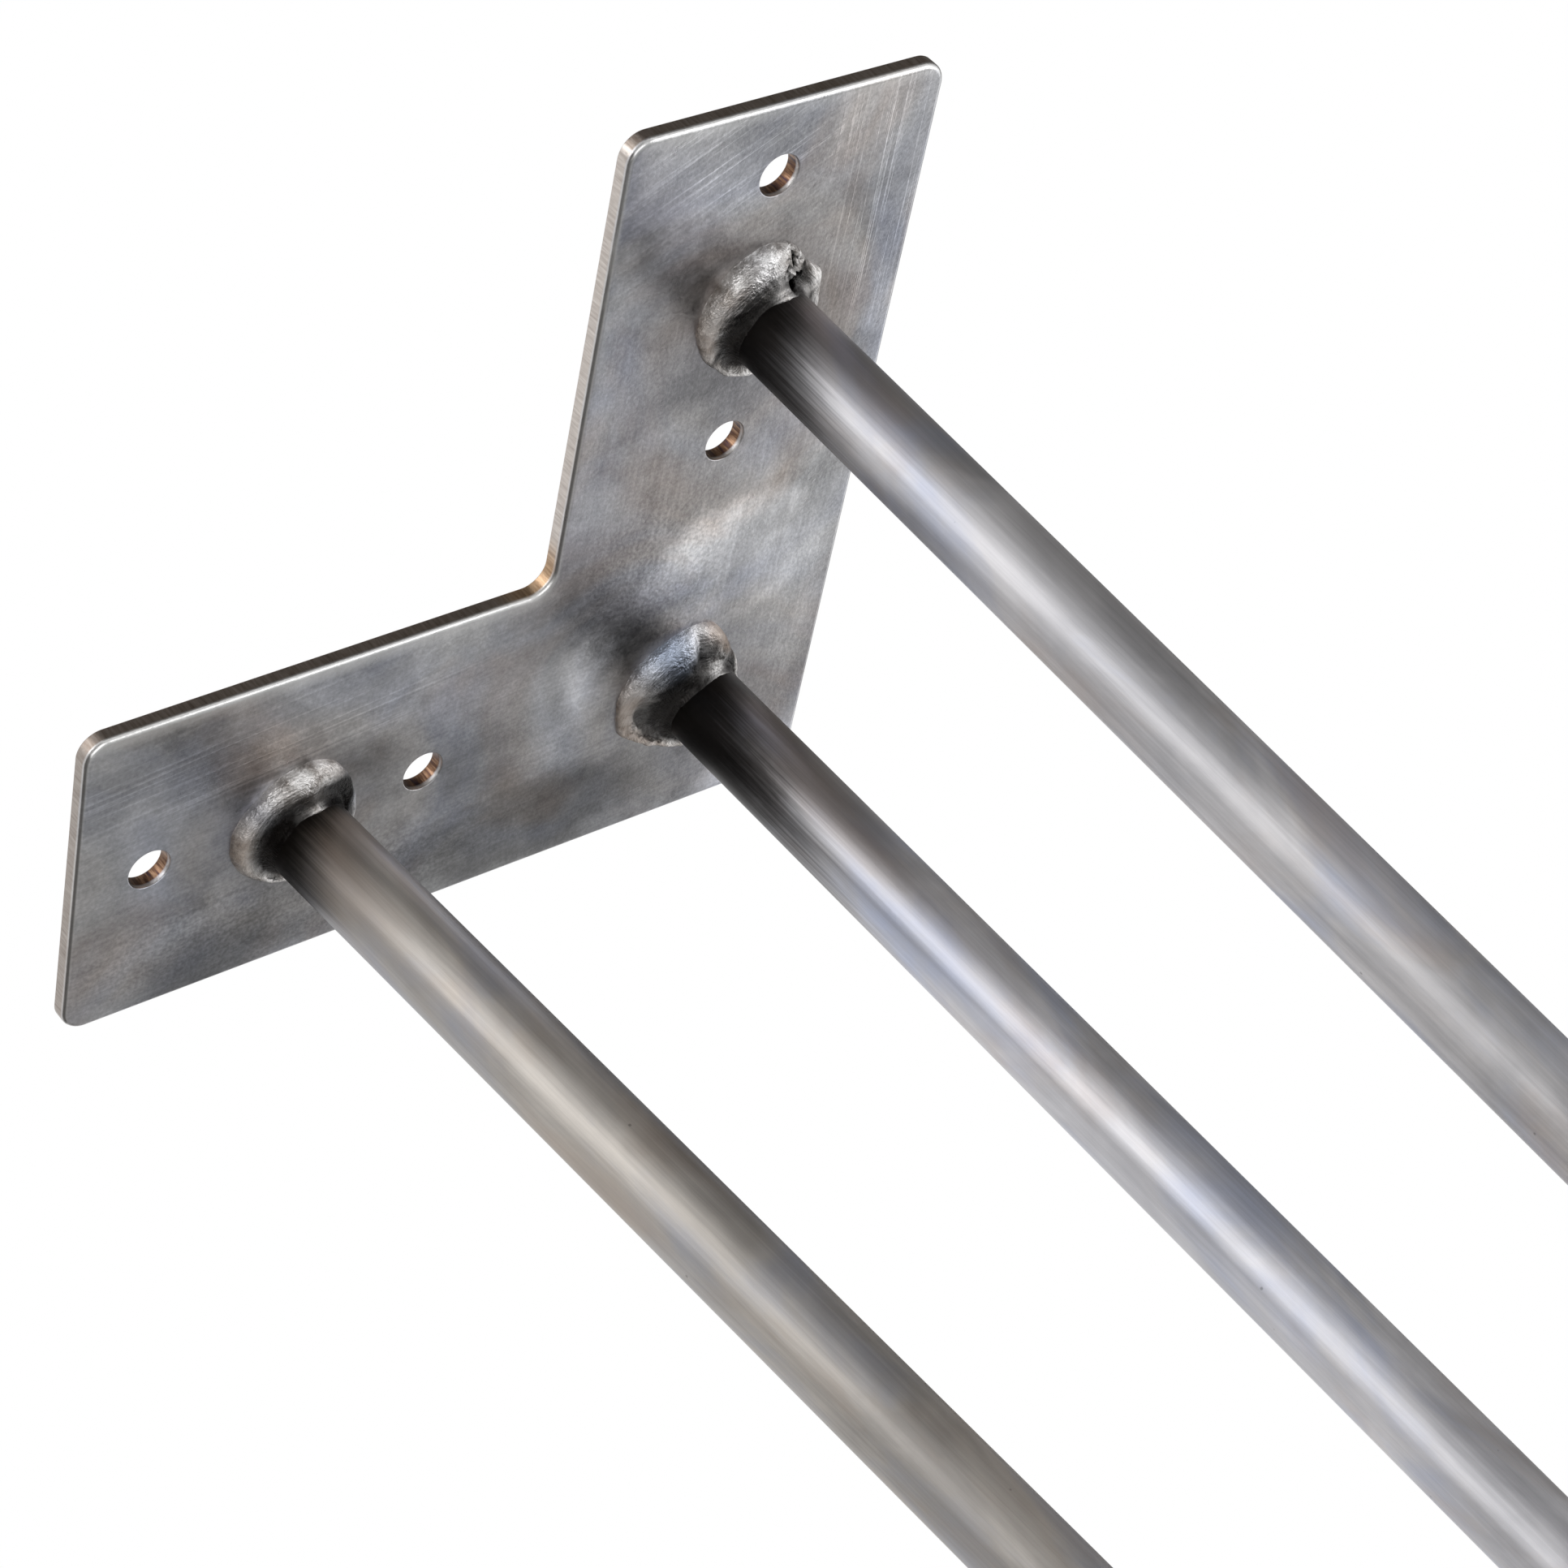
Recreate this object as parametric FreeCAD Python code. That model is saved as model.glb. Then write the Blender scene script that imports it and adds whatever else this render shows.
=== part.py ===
"""Three-rod hairpin table leg: an L-shaped steel plate carries one bent rod and one straight rod.

Frame: the origin is on the plate's top face, where the centrelines of its two arms cross.
+X runs along one arm, +Y along the other and +Z up into the table top. The leg hangs below.
"""
import FreeCAD, Part
import math
import os

Vector = FreeCAD.Vector

# Whole leg, in millimetres
leg_height = 711.0
foot_reach = 37.0

# Plate
plate_thickness = 2.5
arm_length = 120.0
arm_width = 50.0
outline_radius = 3.5
inner_corner_radius = 3.5
rim_radius = 0.8

# Screw holes, two on each arm's centreline
hole_diameter = 6.2
hole_spacing = 42.0
hole_end_margin = 11.0

# Rods
rod_diameter = 12.0
bend_radius = 24.0
arm_seat_shift = 2.0
arm_seat_offset = 2.5
corner_seat_offset = 4.5

# Weld beads at the plate: least reach over the plate, least rise along the rod, and a bulge
# that is 1 for an elliptical section and smaller for a fuller one
bead_reach = 2.4
bead_rise = 2.0
bead_bulge = 0.85
bead_root = 1.5
bead_ripple = 0.1
bead_ripples = 18
bead_facets = 6

# Weld bead at the foot, and the gap that it fills at the straight rod's lower end
foot_bead_radius = 3.2
foot_bead_root = 0.6
foot_bead_ripples = 8
foot_bead_facets = 2
foot_cut_height = 2.0

# Values that follow from the driving dimensions
rod_radius = rod_diameter / 2
half_width = arm_width / 2
arm_end = arm_length - half_width
far_hole = arm_end - hole_end_margin
near_hole = far_hole - hole_spacing
arm_seat = (near_hole + far_hole) / 2 - arm_seat_shift
underside = -plate_thickness
overrun = 4 * plate_thickness
bead_stations = 2 * round(bead_ripples)
foot_bead_stations = 2 * round(foot_bead_ripples)

x_seat = Vector(arm_seat, -arm_seat_offset, underside)
y_seat = Vector(-arm_seat_offset, arm_seat, underside)
corner_seat = Vector(-corner_seat_offset, -corner_seat_offset, underside)
foot = Vector(-foot_reach, -foot_reach, rod_radius - leg_height)


class Lobe:
    """A swelling of a weld bead where the torch dwelt.

    Args:
        angle: direction round the rod, in degrees from +X towards +Y.
        reach: extra reach over the plate at the middle, in millimetres.
        rise: extra rise along the rod at the middle, in millimetres.
        spread: half width, in degrees.
    """

    def __init__(self, angle, reach, rise, spread):
        self.angle = angle
        self.reach = reach
        self.rise = rise
        self.spread = spread

    def share_at(self, angle):
        """Returns how much of the swelling is left in the direction of the given angle."""
        turn = (angle - self.angle + 180.0) % 360.0 - 180.0
        return math.exp(-(turn / self.spread) ** 2)


weld_lobes = {
    "weld_x_arm": [Lobe(20.0, 2.9, 0.8, 50.0), Lobe(95.0, 3.2, 1.0, 40.0)],
    "weld_y_arm": [Lobe(35.0, 3.7, 1.0, 60.0), Lobe(85.0, 2.2, 0.8, 30.0), Lobe(140.0, 0.9, 0.3, 18.0)],
    "weld_corner": [Lobe(35.0, 7.2, 1.8, 50.0), Lobe(82.0, 2.8, 0.8, 22.0), Lobe(-8.0, 1.3, 0.0, 22.0)],
}


def rounded_corner(before, corner, after, radius):
    """Returns the two tangent points and the middle of the arc that rounds a corner."""
    to_before = (before - corner).normalize()
    to_after = (after - corner).normalize()
    half_angle = to_before.getAngle(to_after) / 2
    middle = (to_before + to_after).normalize()
    start = corner + to_before * (radius / math.tan(half_angle))
    end = corner + to_after * (radius / math.tan(half_angle))
    top = corner + middle * (radius / math.sin(half_angle) - radius)
    return start, top, end


def l_outline():
    """Returns the plate's closed outline on its top face, every corner rounded."""
    corners = [
        (Vector(-half_width, -half_width, 0), outline_radius),
        (Vector(arm_end, -half_width, 0), outline_radius),
        (Vector(arm_end, half_width, 0), outline_radius),
        (Vector(half_width, half_width, 0), inner_corner_radius),
        (Vector(half_width, arm_end, 0), outline_radius),
        (Vector(-half_width, arm_end, 0), outline_radius),
    ]
    arcs = []
    for index, (corner, radius) in enumerate(corners):
        before = corners[index - 1][0]
        after = corners[(index + 1) % len(corners)][0]
        arcs.append(rounded_corner(before, corner, after, radius))
    edges = []
    for index, (start, top, end) in enumerate(arcs):
        next_start = arcs[(index + 1) % len(arcs)][0]
        edges.append(Part.Arc(start, top, end).toShape())
        edges.append(Part.makeLine(end, next_start))
    return Part.Wire(edges)


def mounting_plate():
    """Returns the L-shaped plate with its four screw holes and rolled lower rim."""
    plate = Part.Face(l_outline()).extrude(Vector(0, 0, -plate_thickness))
    lower_rim = [
        edge for edge in plate.Edges
        if all(abs(vertex.Z - underside) < 1e-6 for vertex in edge.Vertexes)
    ]
    plate = plate.makeFillet(rim_radius, lower_rim)
    for distance in (near_hole, far_hole):
        for centre in (Vector(distance, 0, underside), Vector(0, distance, underside)):
            plate = plate.cut(Part.makeCylinder(hole_diameter / 2, plate_thickness, centre))
    return plate


def bend_frame():
    """Returns the bend's centre, the sideways direction and the direction down the bent rod."""
    middle = (x_seat + y_seat) / 2
    down = (foot - middle).normalize()
    sideways = (x_seat - y_seat).normalize()
    return foot - down * bend_radius, sideways, down


def tangent_point(seat, centre, sideways, down):
    """Returns where the straight line from a seat touches the bend's centreline."""
    across = (seat - centre).dot(sideways)
    along = (seat - centre).dot(down)
    distance = math.hypot(across, along)
    turn = math.acos(bend_radius / distance)
    towards_foot = math.copysign(turn, across)
    direction = math.atan2(along, across) + towards_foot
    return centre + (sideways * math.cos(direction) + down * math.sin(direction)) * bend_radius


def round_bar(start, end):
    """Returns a round bar of the rod's diameter between two points."""
    return Part.makeCylinder(rod_radius, (end - start).Length, start, end - start)


def seated(bar):
    """Returns a bar cut off flush with the plate's underside."""
    size = 2 * leg_height
    above = Part.makeBox(size, size, size, Vector(-size / 2, -size / 2, underside))
    return bar.cut(above)


def raised(seat, lower_point):
    """Returns a seat moved up along its rod, through the plate."""
    return seat + (seat - lower_point).normalize() * overrun


def uncut_hairpin():
    """Returns the bent rod with both ends running on through the plate."""
    centre, sideways, down = bend_frame()
    touch_x = tangent_point(x_seat, centre, sideways, down)
    touch_y = tangent_point(y_seat, centre, sideways, down)
    top_x = raised(x_seat, touch_x)
    top_y = raised(y_seat, touch_y)
    path = Part.Wire([
        Part.makeLine(top_x, touch_x),
        Part.Arc(touch_x, foot, touch_y).toShape(),
        Part.makeLine(touch_y, top_y),
    ])
    profile = Part.Wire(Part.makeCircle(rod_radius, top_x, touch_x - top_x))
    return path.makePipeShell([profile], True, False)


def corner_rod_end():
    """Returns where the straight rod's axis ends, just above the bend's centreline."""
    return foot + (corner_seat - foot).normalize() * foot_cut_height


def uncut_corner_rod():
    """Returns the straight rod running on through the plate, with its lower end cut square."""
    return round_bar(raised(corner_seat, foot), corner_rod_end())


def closed_ring(sections):
    """Returns a solid ring lofted straight from section to section and back to the first."""
    return Part.makeLoft(sections, True, True, True)


def ripple_at(station):
    """Returns the ripple's height at a station: a ridge and a furrow by turns."""
    return bead_ripple if station % 2 == 0 else -bead_ripple


def bead_section(seat, down, station, lobes):
    """Returns one radial section of a weld bead, reaching into the rod and the plate."""
    angle = 360.0 * station / bead_stations
    extra_reach = sum(lobe.reach * lobe.share_at(angle) for lobe in lobes) + ripple_at(station)
    extra_rise = sum(lobe.rise * lobe.share_at(angle) for lobe in lobes) + ripple_at(station)
    radians = math.radians(angle)
    outward = Vector(math.cos(radians), math.sin(radians), 0)
    off_rod = (outward - down * outward.dot(down)).normalize()
    toe = seat + outward * (rod_radius + bead_reach + extra_reach)
    over_plate = toe - seat - off_rod * rod_radius
    up_rod = down * (bead_rise + extra_rise)
    skin = []
    for step in range(bead_facets + 1):
        quarter = math.pi / 2 * step / bead_facets
        across = math.cos(quarter) ** bead_bulge if step < bead_facets else 0.0
        along = math.sin(quarter) ** bead_bulge
        skin.append(seat + off_rod * rod_radius + over_plate * across + up_rod * along)
    inside_rod = skin[-1] - off_rod * bead_root
    root = seat + outward * (rod_radius - bead_root) - down * bead_root
    below_toe = toe - down * bead_root
    return Part.makePolygon(skin + [inside_rod, root, below_toe, toe])


def plate_weld(seat, lower_point, rod, lobes):
    """Returns the fillet weld round a rod, flush with the rod and the plate's underside."""
    down = (lower_point - seat).normalize()
    sections = [bead_section(seat, down, station, lobes) for station in range(bead_stations)]
    return seated(closed_ring(sections)).cut(rod)


def foot_section(station, sideways, forward, axis):
    """Returns one section of the foot's bead: a half disc whose straight side is in the rod."""
    angle = 2 * math.pi * station / foot_bead_stations
    outward = sideways * math.cos(angle) + forward * math.sin(angle)
    saddle_height = rod_radius * math.cos(angle) ** 2 + foot_cut_height * math.sin(angle) ** 2
    centre = foot + outward * (rod_radius - foot_bead_root) + axis * saddle_height
    radius = foot_bead_radius + ripple_at(station)
    skin = []
    for step in range(foot_bead_facets + 1):
        turn = math.pi * step / foot_bead_facets
        skin.append(centre + outward * radius * math.sin(turn) - axis * radius * math.cos(turn))
    return Part.makePolygon(skin + [skin[0]])


def foot_weld(hairpin, straight_rod):
    """Returns the bead that follows the saddle where the straight rod meets the bend."""
    axis = (corner_seat - foot).normalize()
    sideways = (x_seat - y_seat).normalize()
    forward = axis.cross(sideways)
    sections = [
        foot_section(station, sideways, forward, axis) for station in range(foot_bead_stations)
    ]
    return closed_ring(sections).cut(hairpin).cut(straight_rod)


def build():
    """Returns every sub-part's shape by the name of its node."""
    hairpin = uncut_hairpin()
    straight_rod = uncut_corner_rod()
    centre, sideways, down = bend_frame()
    touch_x = tangent_point(x_seat, centre, sideways, down)
    touch_y = tangent_point(y_seat, centre, sideways, down)
    welds = {
        "weld_x_arm": (x_seat, touch_x, hairpin),
        "weld_y_arm": (y_seat, touch_y, hairpin),
        "weld_corner": (corner_seat, foot, straight_rod),
    }
    shapes = {
        "mounting_plate": mounting_plate(),
        "hairpin_rod": seated(hairpin),
        "corner_rod": seated(straight_rod).cut(hairpin),
        "weld_foot": foot_weld(hairpin, straight_rod),
    }
    for name, (seat, lower_point, rod) in welds.items():
        shapes[name] = plate_weld(seat, lower_point, rod, weld_lobes[name])
    return shapes


os.makedirs("parts", exist_ok=True)
for node, shape in build().items():
    shape.exportStep("parts/" + node + ".step")
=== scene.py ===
"""A raw steel three-rod hairpin table leg, seen from below in a plain bright studio.

An L-shaped plate carries one bent round bar and one straight one. Four hand-laid weld beads
join them. Sizes in the classes are in millimetres, and meshes are made in metres.
"""
import logging
import math
import random
from dataclasses import dataclass, field
from enum import Enum
from functools import partial
from typing import Any, Callable

import bmesh
import bpy
from mathutils import Matrix, Vector, noise


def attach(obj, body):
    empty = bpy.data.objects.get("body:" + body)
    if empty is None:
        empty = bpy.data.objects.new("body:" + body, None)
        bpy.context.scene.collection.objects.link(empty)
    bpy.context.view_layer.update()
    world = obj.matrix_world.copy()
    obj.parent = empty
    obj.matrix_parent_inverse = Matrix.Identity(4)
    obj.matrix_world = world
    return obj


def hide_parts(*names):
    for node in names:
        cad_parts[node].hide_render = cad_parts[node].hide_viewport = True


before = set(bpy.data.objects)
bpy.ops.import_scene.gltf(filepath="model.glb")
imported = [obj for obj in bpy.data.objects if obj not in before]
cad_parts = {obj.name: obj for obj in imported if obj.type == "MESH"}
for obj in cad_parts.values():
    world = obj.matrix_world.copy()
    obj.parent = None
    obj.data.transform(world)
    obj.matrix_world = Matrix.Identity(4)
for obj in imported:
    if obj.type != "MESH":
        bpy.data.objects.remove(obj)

Socket = bpy.types.NodeSocket
Material = bpy.types.Material
Piece = bpy.types.Object
NodeAdder = Callable[..., Socket]
Triple = tuple[float, float, float]
Stops = tuple[tuple[float, str], ...]

MM = 0.001
LOG = logging.getLogger("hairpin_leg")


def linear_colour(hex_code: str) -> tuple[float, float, float, float]:
    """Turns an sRGB hex colour into the linear colour that shaders take.

    Args:
        hex_code: six hex digits after a hash sign.

    Returns:
        Linear red, green, blue and an alpha of 1.
    """
    channels = []
    for start in (1, 3, 5):
        value = int(hex_code[start:start + 2], 16) / 255
        channels.append(value / 12.92 if value <= 0.04045 else ((value + 0.055) / 1.055) ** 2.4)
    return channels[0], channels[1], channels[2], 1.0


def set_inputs(tree: bpy.types.NodeTree, node: bpy.types.Node, values: dict[Any, Any]) -> None:
    """Links or sets a node's inputs.

    Args:
        tree: the node's tree.
        node: the node.
        values: a socket to link, a plain value, a hex colour or None, by index or name.
    """
    for key, value in values.items():
        if isinstance(value, Socket):
            tree.links.new(value, node.inputs[key])
        elif value is not None:
            plain = linear_colour(value) if isinstance(value, str) else value
            node.inputs[key].default_value = plain


def add_node(
    tree: bpy.types.NodeTree, kind: str, *values: Any, output: int | str = 0,
    named: dict[Any, Any] | None = None, stops: Stops = (), **settings: Any,
) -> Socket:
    """Adds a node with its settings, values and links.

    Args:
        tree: the node tree that gets the node.
        kind: its type name without the prefix that all share, then its operation if it has one.
        values: what its first inputs get, in their order.
        output: the index or name of the wanted output.
        named: what other inputs get, by index or name.
        stops: places and hex colours, for a node that holds a colour ramp.
        settings: the node's own properties.

    Returns:
        The wanted output socket.
    """
    kind, _, operation = kind.partition(" ")
    node = tree.nodes.new("ShaderNode" + kind)
    if operation:
        settings["operation"] = operation
    for name, value in settings.items():
        setattr(node, name, value)
    set_inputs(tree, node, {**dict(enumerate(values)), **(named or {})})
    for index, (place, colour) in enumerate(stops):
        elements = node.color_ramp.elements
        element = elements[index] if index < len(elements) else elements.new(1.0)
        element.position, element.color = place, linear_colour(colour)
    return node.outputs[output]


def millimetres(node: NodeAdder) -> Socket:
    """Adds the object's own coordinates in millimetres."""
    return node("Mapping", node("TexCoord", output="Object"), None, None, (1000, 1000, 1000))


def product(node: NodeAdder, start: Socket | float, *ranges: tuple) -> Socket | float:
    """Multiplies a value by others, each mapped from one range to another.

    Args:
        node: adds a node to the material.
        start: the value to begin with.
        ranges: each factor's socket, its range's two ends, and what they give if not 0 and 1.

    Returns:
        The product.
    """
    for values in ranges:
        start = node("Math MULTIPLY", start, node("MapRange", *values))
    return start


def coat(node: NodeAdder, base: Socket | str, *coats: tuple[Any, Socket | str]) -> Socket:
    """Lays coats of colour over a base, each over the ones before.

    Args:
        node: adds a node to the material.
        base: the colour underneath.
        coats: each coat's share, as a socket or as a range that product takes, and its colour.

    Returns:
        The colour that shows.
    """
    for share, colour in coats:
        if isinstance(share, tuple):
            share = node("MapRange", *share)
        base = node("Mix", share, named={6: base, 7: colour}, output=2, data_type="RGBA")
    return base


def oval_distance(node: NodeAdder, place: Socket, x: float, y: float, length: float,
                  width: float, turn: float = 0.0) -> Socket:
    """Adds the distance from an oval's middle, which is 1 on its outline.

    Args:
        node: adds a node to the material.
        place: the coordinates in millimetres.
        x, y, length, width: the oval's middle and half sizes, in millimetres.
        turn: the length's direction, in degrees from +X towards +Y.

    Returns:
        The distance.
    """
    centred = node("VectorMath SUBTRACT", place, (x, y, 0))
    turned = node("VectorRotate", centred, None, (0, 0, 1), -math.radians(turn))
    scaled = node("VectorMath MULTIPLY", turned, (1 / length, 1 / width, 0))
    return node("VectorMath LENGTH", scaled, output=1)


def share_near(
    node: NodeAdder, place: Socket, spots: tuple[tuple[float, float, float, float], ...],
    outer: float = 1.1, inner: float = 0.4, curve: str = "SMOOTHSTEP",
) -> Socket | float:
    """Adds a share that is 1 in the middle of some ovals and 0 away from them.

    Args:
        node: adds a node to the material.
        place: the coordinates in millimetres.
        spots: each oval's middle and half sizes, in millimetres.
        outer, inner: shares of the half sizes where it is 0 and where it is 1.
        curve: how it rises between them.

    Returns:
        The share.
    """
    share: Socket | float = 0.0
    for spot in spots:
        away = oval_distance(node, place, *spot)
        inside = node("MapRange", away, outer, inner, interpolation_type=curve)
        share = node("Math MAXIMUM", share, inside)
    return share


def new_material(name: str, metallic: float = 1.0) -> tuple[Material, NodeAdder]:
    """Starts a material, which is bare metal as a rule.

    Args:
        name: the finish's common name.
        metallic: 1 for metal and 0 for paint.

    Returns:
        The material and what adds a node to it.
    """
    made = bpy.data.materials.new(name)
    made.use_nodes = True
    made.node_tree.nodes["Principled BSDF"].inputs["Metallic"].default_value = metallic
    return made, partial(add_node, made.node_tree)


def dress(made: Material, colour: Socket | str, rough: Socket | float,
          relief: tuple[tuple[Socket, float], ...], strength: float, depth: float) -> Material:
    """Gives a material its colour, roughness and relief.

    Args:
        made: the material.
        colour, rough: a socket each, or what is the same all over.
        relief: what lifts the surface, each part with its weight.
        strength, depth: the relief's strength, and its depth in metres.

    Returns:
        The finished material.
    """
    tree = made.node_tree
    height: Socket | float = 0.0
    for part, weight in relief:
        height = add_node(tree, "Math MULTIPLY_ADD", part, weight, height)
    normal = add_node(tree, "Bump", named={
        "Strength": strength, "Distance": depth, "Height": height})
    set_inputs(tree, tree.nodes["Principled BSDF"], {
        "Base Color": colour, "Roughness": rough, "Normal": normal})
    return made


class Arm(Enum):
    """The plate's two arms, by the row axis that each runs along."""

    X = 0
    Y = 1


@dataclass(frozen=True)
class LegSizes:
    """The leg's driving sizes, in millimetres, and the places that follow from them."""

    leg_height: float = 711.0
    foot_reach: float = 37.0
    plate_thickness: float = 2.5
    arm_length: float = 120.0
    arm_width: float = 50.0
    hole_diameter: float = 6.2
    hole_spacing: float = 42.0
    hole_end_margin: float = 11.0
    rod_diameter: float = 12.0
    bend_radius: float = 24.0
    arm_seat_shift: float = 2.0
    arm_seat_offset: float = 2.5
    corner_seat_offset: float = 4.5

    @property
    def rod_radius(self) -> float:
        """Half the rods' diameter."""
        return self.rod_diameter / 2

    @property
    def underside(self) -> float:
        """Height of the plate's lower face."""
        return -self.plate_thickness

    @property
    def hole_places(self) -> tuple[float, float]:
        """Distances of an arm's two holes from the frame's origin."""
        far = self.arm_length - self.arm_width / 2 - self.hole_end_margin
        return far - self.hole_spacing, far

    @property
    def hole_centres(self) -> list[tuple[float, float]]:
        """The four holes' centres, as x and y."""
        return [centre for place in self.hole_places for centre in ((place, 0.0), (0.0, place))]

    def arm_seat(self, arm: Arm) -> Vector:
        """Returns where the bent bar's axis meets the underside of an arm."""
        seat = [sum(self.hole_places) / 2 - self.arm_seat_shift, -self.arm_seat_offset]
        return Vector((*(seat if arm is Arm.X else reversed(seat)), self.underside))

    @property
    def corner_seat(self) -> Vector:
        """Where the straight bar's axis meets the plate's underside."""
        return Vector((-self.corner_seat_offset, -self.corner_seat_offset, self.underside))

    @property
    def foot(self) -> Vector:
        """The lowest point of the bent bar's axis."""
        return Vector((-self.foot_reach, -self.foot_reach, self.rod_radius - self.leg_height))

    @property
    def bend_down(self) -> Vector:
        """Unit vector down the middle of the bent bar."""
        middle = (self.arm_seat(Arm.X) + self.arm_seat(Arm.Y)) / 2
        return (self.foot - middle).normalized()

    @property
    def bend_side(self) -> Vector:
        """Unit vector from the Y arm's seat towards the X arm's."""
        return (self.arm_seat(Arm.X) - self.arm_seat(Arm.Y)).normalized()

    @property
    def bend_centre(self) -> Vector:
        """Centre of the bend's arc."""
        return self.foot - self.bend_down * self.bend_radius

    def tangent_point(self, arm: Arm) -> Vector:
        """Works out where one of the bar's straight lengths runs into the bend.

        Args:
            arm: the arm that the length comes down from.

        Returns:
            The point on the bar's axis.
        """
        offset = self.arm_seat(arm) - self.bend_centre
        across = offset.dot(self.bend_side)
        along = offset.dot(self.bend_down)
        turn = math.acos(self.bend_radius / math.hypot(across, along))
        direction = math.atan2(along, across) + math.copysign(turn, across)
        return self.bend_centre + self.bend_radius * (
            self.bend_side * math.cos(direction) + self.bend_down * math.sin(direction))


def start_piece() -> None:
    """Deselects everything, so that the next operator acts on the new piece alone."""
    if bpy.context.mode != "OBJECT":
        bpy.ops.object.mode_set(mode="OBJECT")
    bpy.ops.object.select_all(action="DESELECT")


def settle_piece(piece: Piece, name: str, material: Material) -> None:
    """Puts a piece's place into its mesh, names it and gives it its finish.

    Args:
        piece: the active, selected piece.
        name: the name that it gets.
        material: its only material.
    """
    bpy.ops.object.transform_apply(location=True, rotation=True, scale=True)
    piece.name = piece.data.name = name
    piece.data.materials.clear()
    piece.data.materials.append(material)
    bpy.ops.object.shade_smooth_by_angle(angle=math.radians(50))
    even = piece.modifiers.new("even_normals", "WEIGHTED_NORMAL")
    even.keep_sharp = True
    bpy.ops.object.modifier_apply(modifier=even.name)
    piece.select_set(False)


def store_points(piece: Piece, name: str, values: list[Triple]) -> None:
    """Stores a vector for each vertex in order, under a name that the finish reads."""
    layer = piece.data.attributes.new(name, "FLOAT_VECTOR", "POINT")
    layer.data.foreach_set("vector", [value for vector in values for value in vector])


class Pick(Enum):
    """What a selection by place takes up."""

    VERTICES = "VERT"
    EDGES = "EDGE"


def pick(kind: Pick, test: Callable[[Vector], bool]) -> None:
    """Selects the parts of the mesh in edit mode whose points all pass a test.

    Args:
        kind: vertices or edges.
        test: tells for a point, in millimetres, whether it belongs to the selection.
    """
    bpy.ops.mesh.select_mode(type=kind.value)
    bpy.ops.mesh.select_all(action="DESELECT")
    data = bpy.context.edit_object.data
    mesh = bmesh.from_edit_mesh(data)
    for item in mesh.verts if kind is Pick.VERTICES else mesh.edges:
        points = [item] if kind is Pick.VERTICES else item.verts
        if all(test(point.co / MM) for point in points):
            item.select_set(True)
    mesh.select_flush_mode()
    bmesh.update_edit_mesh(data)


def extrude(offset: Vector | Triple) -> None:
    """Extrudes what is selected by an offset in millimetres."""
    bpy.ops.mesh.extrude_region_move(TRANSFORM_OT_translate={"value": Vector(offset) * MM})


def bevel(width: float, steps: int, affect: str = "EDGES") -> None:
    """Bevels what is selected by a width in millimetres."""
    bpy.ops.mesh.bevel(offset=width * MM, segments=steps, profile=0.5, affect=affect)


def close_and_turn_out(merge: float = 0.001) -> None:
    """Merges doubles, closes open ends and turns every face outwards, in edit mode.

    Args:
        merge: the distance below which two points become one, in millimetres.
    """
    bpy.ops.mesh.select_mode(type="VERT")
    bpy.ops.mesh.select_all(action="SELECT")
    bpy.ops.mesh.remove_doubles(threshold=merge * MM)
    bpy.ops.mesh.select_all(action="SELECT")
    bpy.ops.mesh.fill_holes(sides=0)
    bpy.ops.mesh.select_all(action="SELECT")
    bpy.ops.mesh.normals_make_consistent(inside=False)
    bpy.ops.object.mode_set(mode="OBJECT")


@dataclass(frozen=True)
class Patch:
    """A soft-edged patch on the plate that is paler or darker than the rest, partly the steel's own
    uneven tone and partly painted reflection, light and shade.

    Attributes:
        x, y, length, width: its middle and half sizes, in millimetres.
        turn: the length's direction, in degrees from +X towards +Y.
        tone: what the steel's colour is multiplied by at the middle.
        core, edge: shares of the half sizes between which the patch fades away.
    """

    x: float
    y: float
    length: float
    width: float
    turn: float
    tone: float
    core: float = 0.0
    edge: float = 1.5


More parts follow.
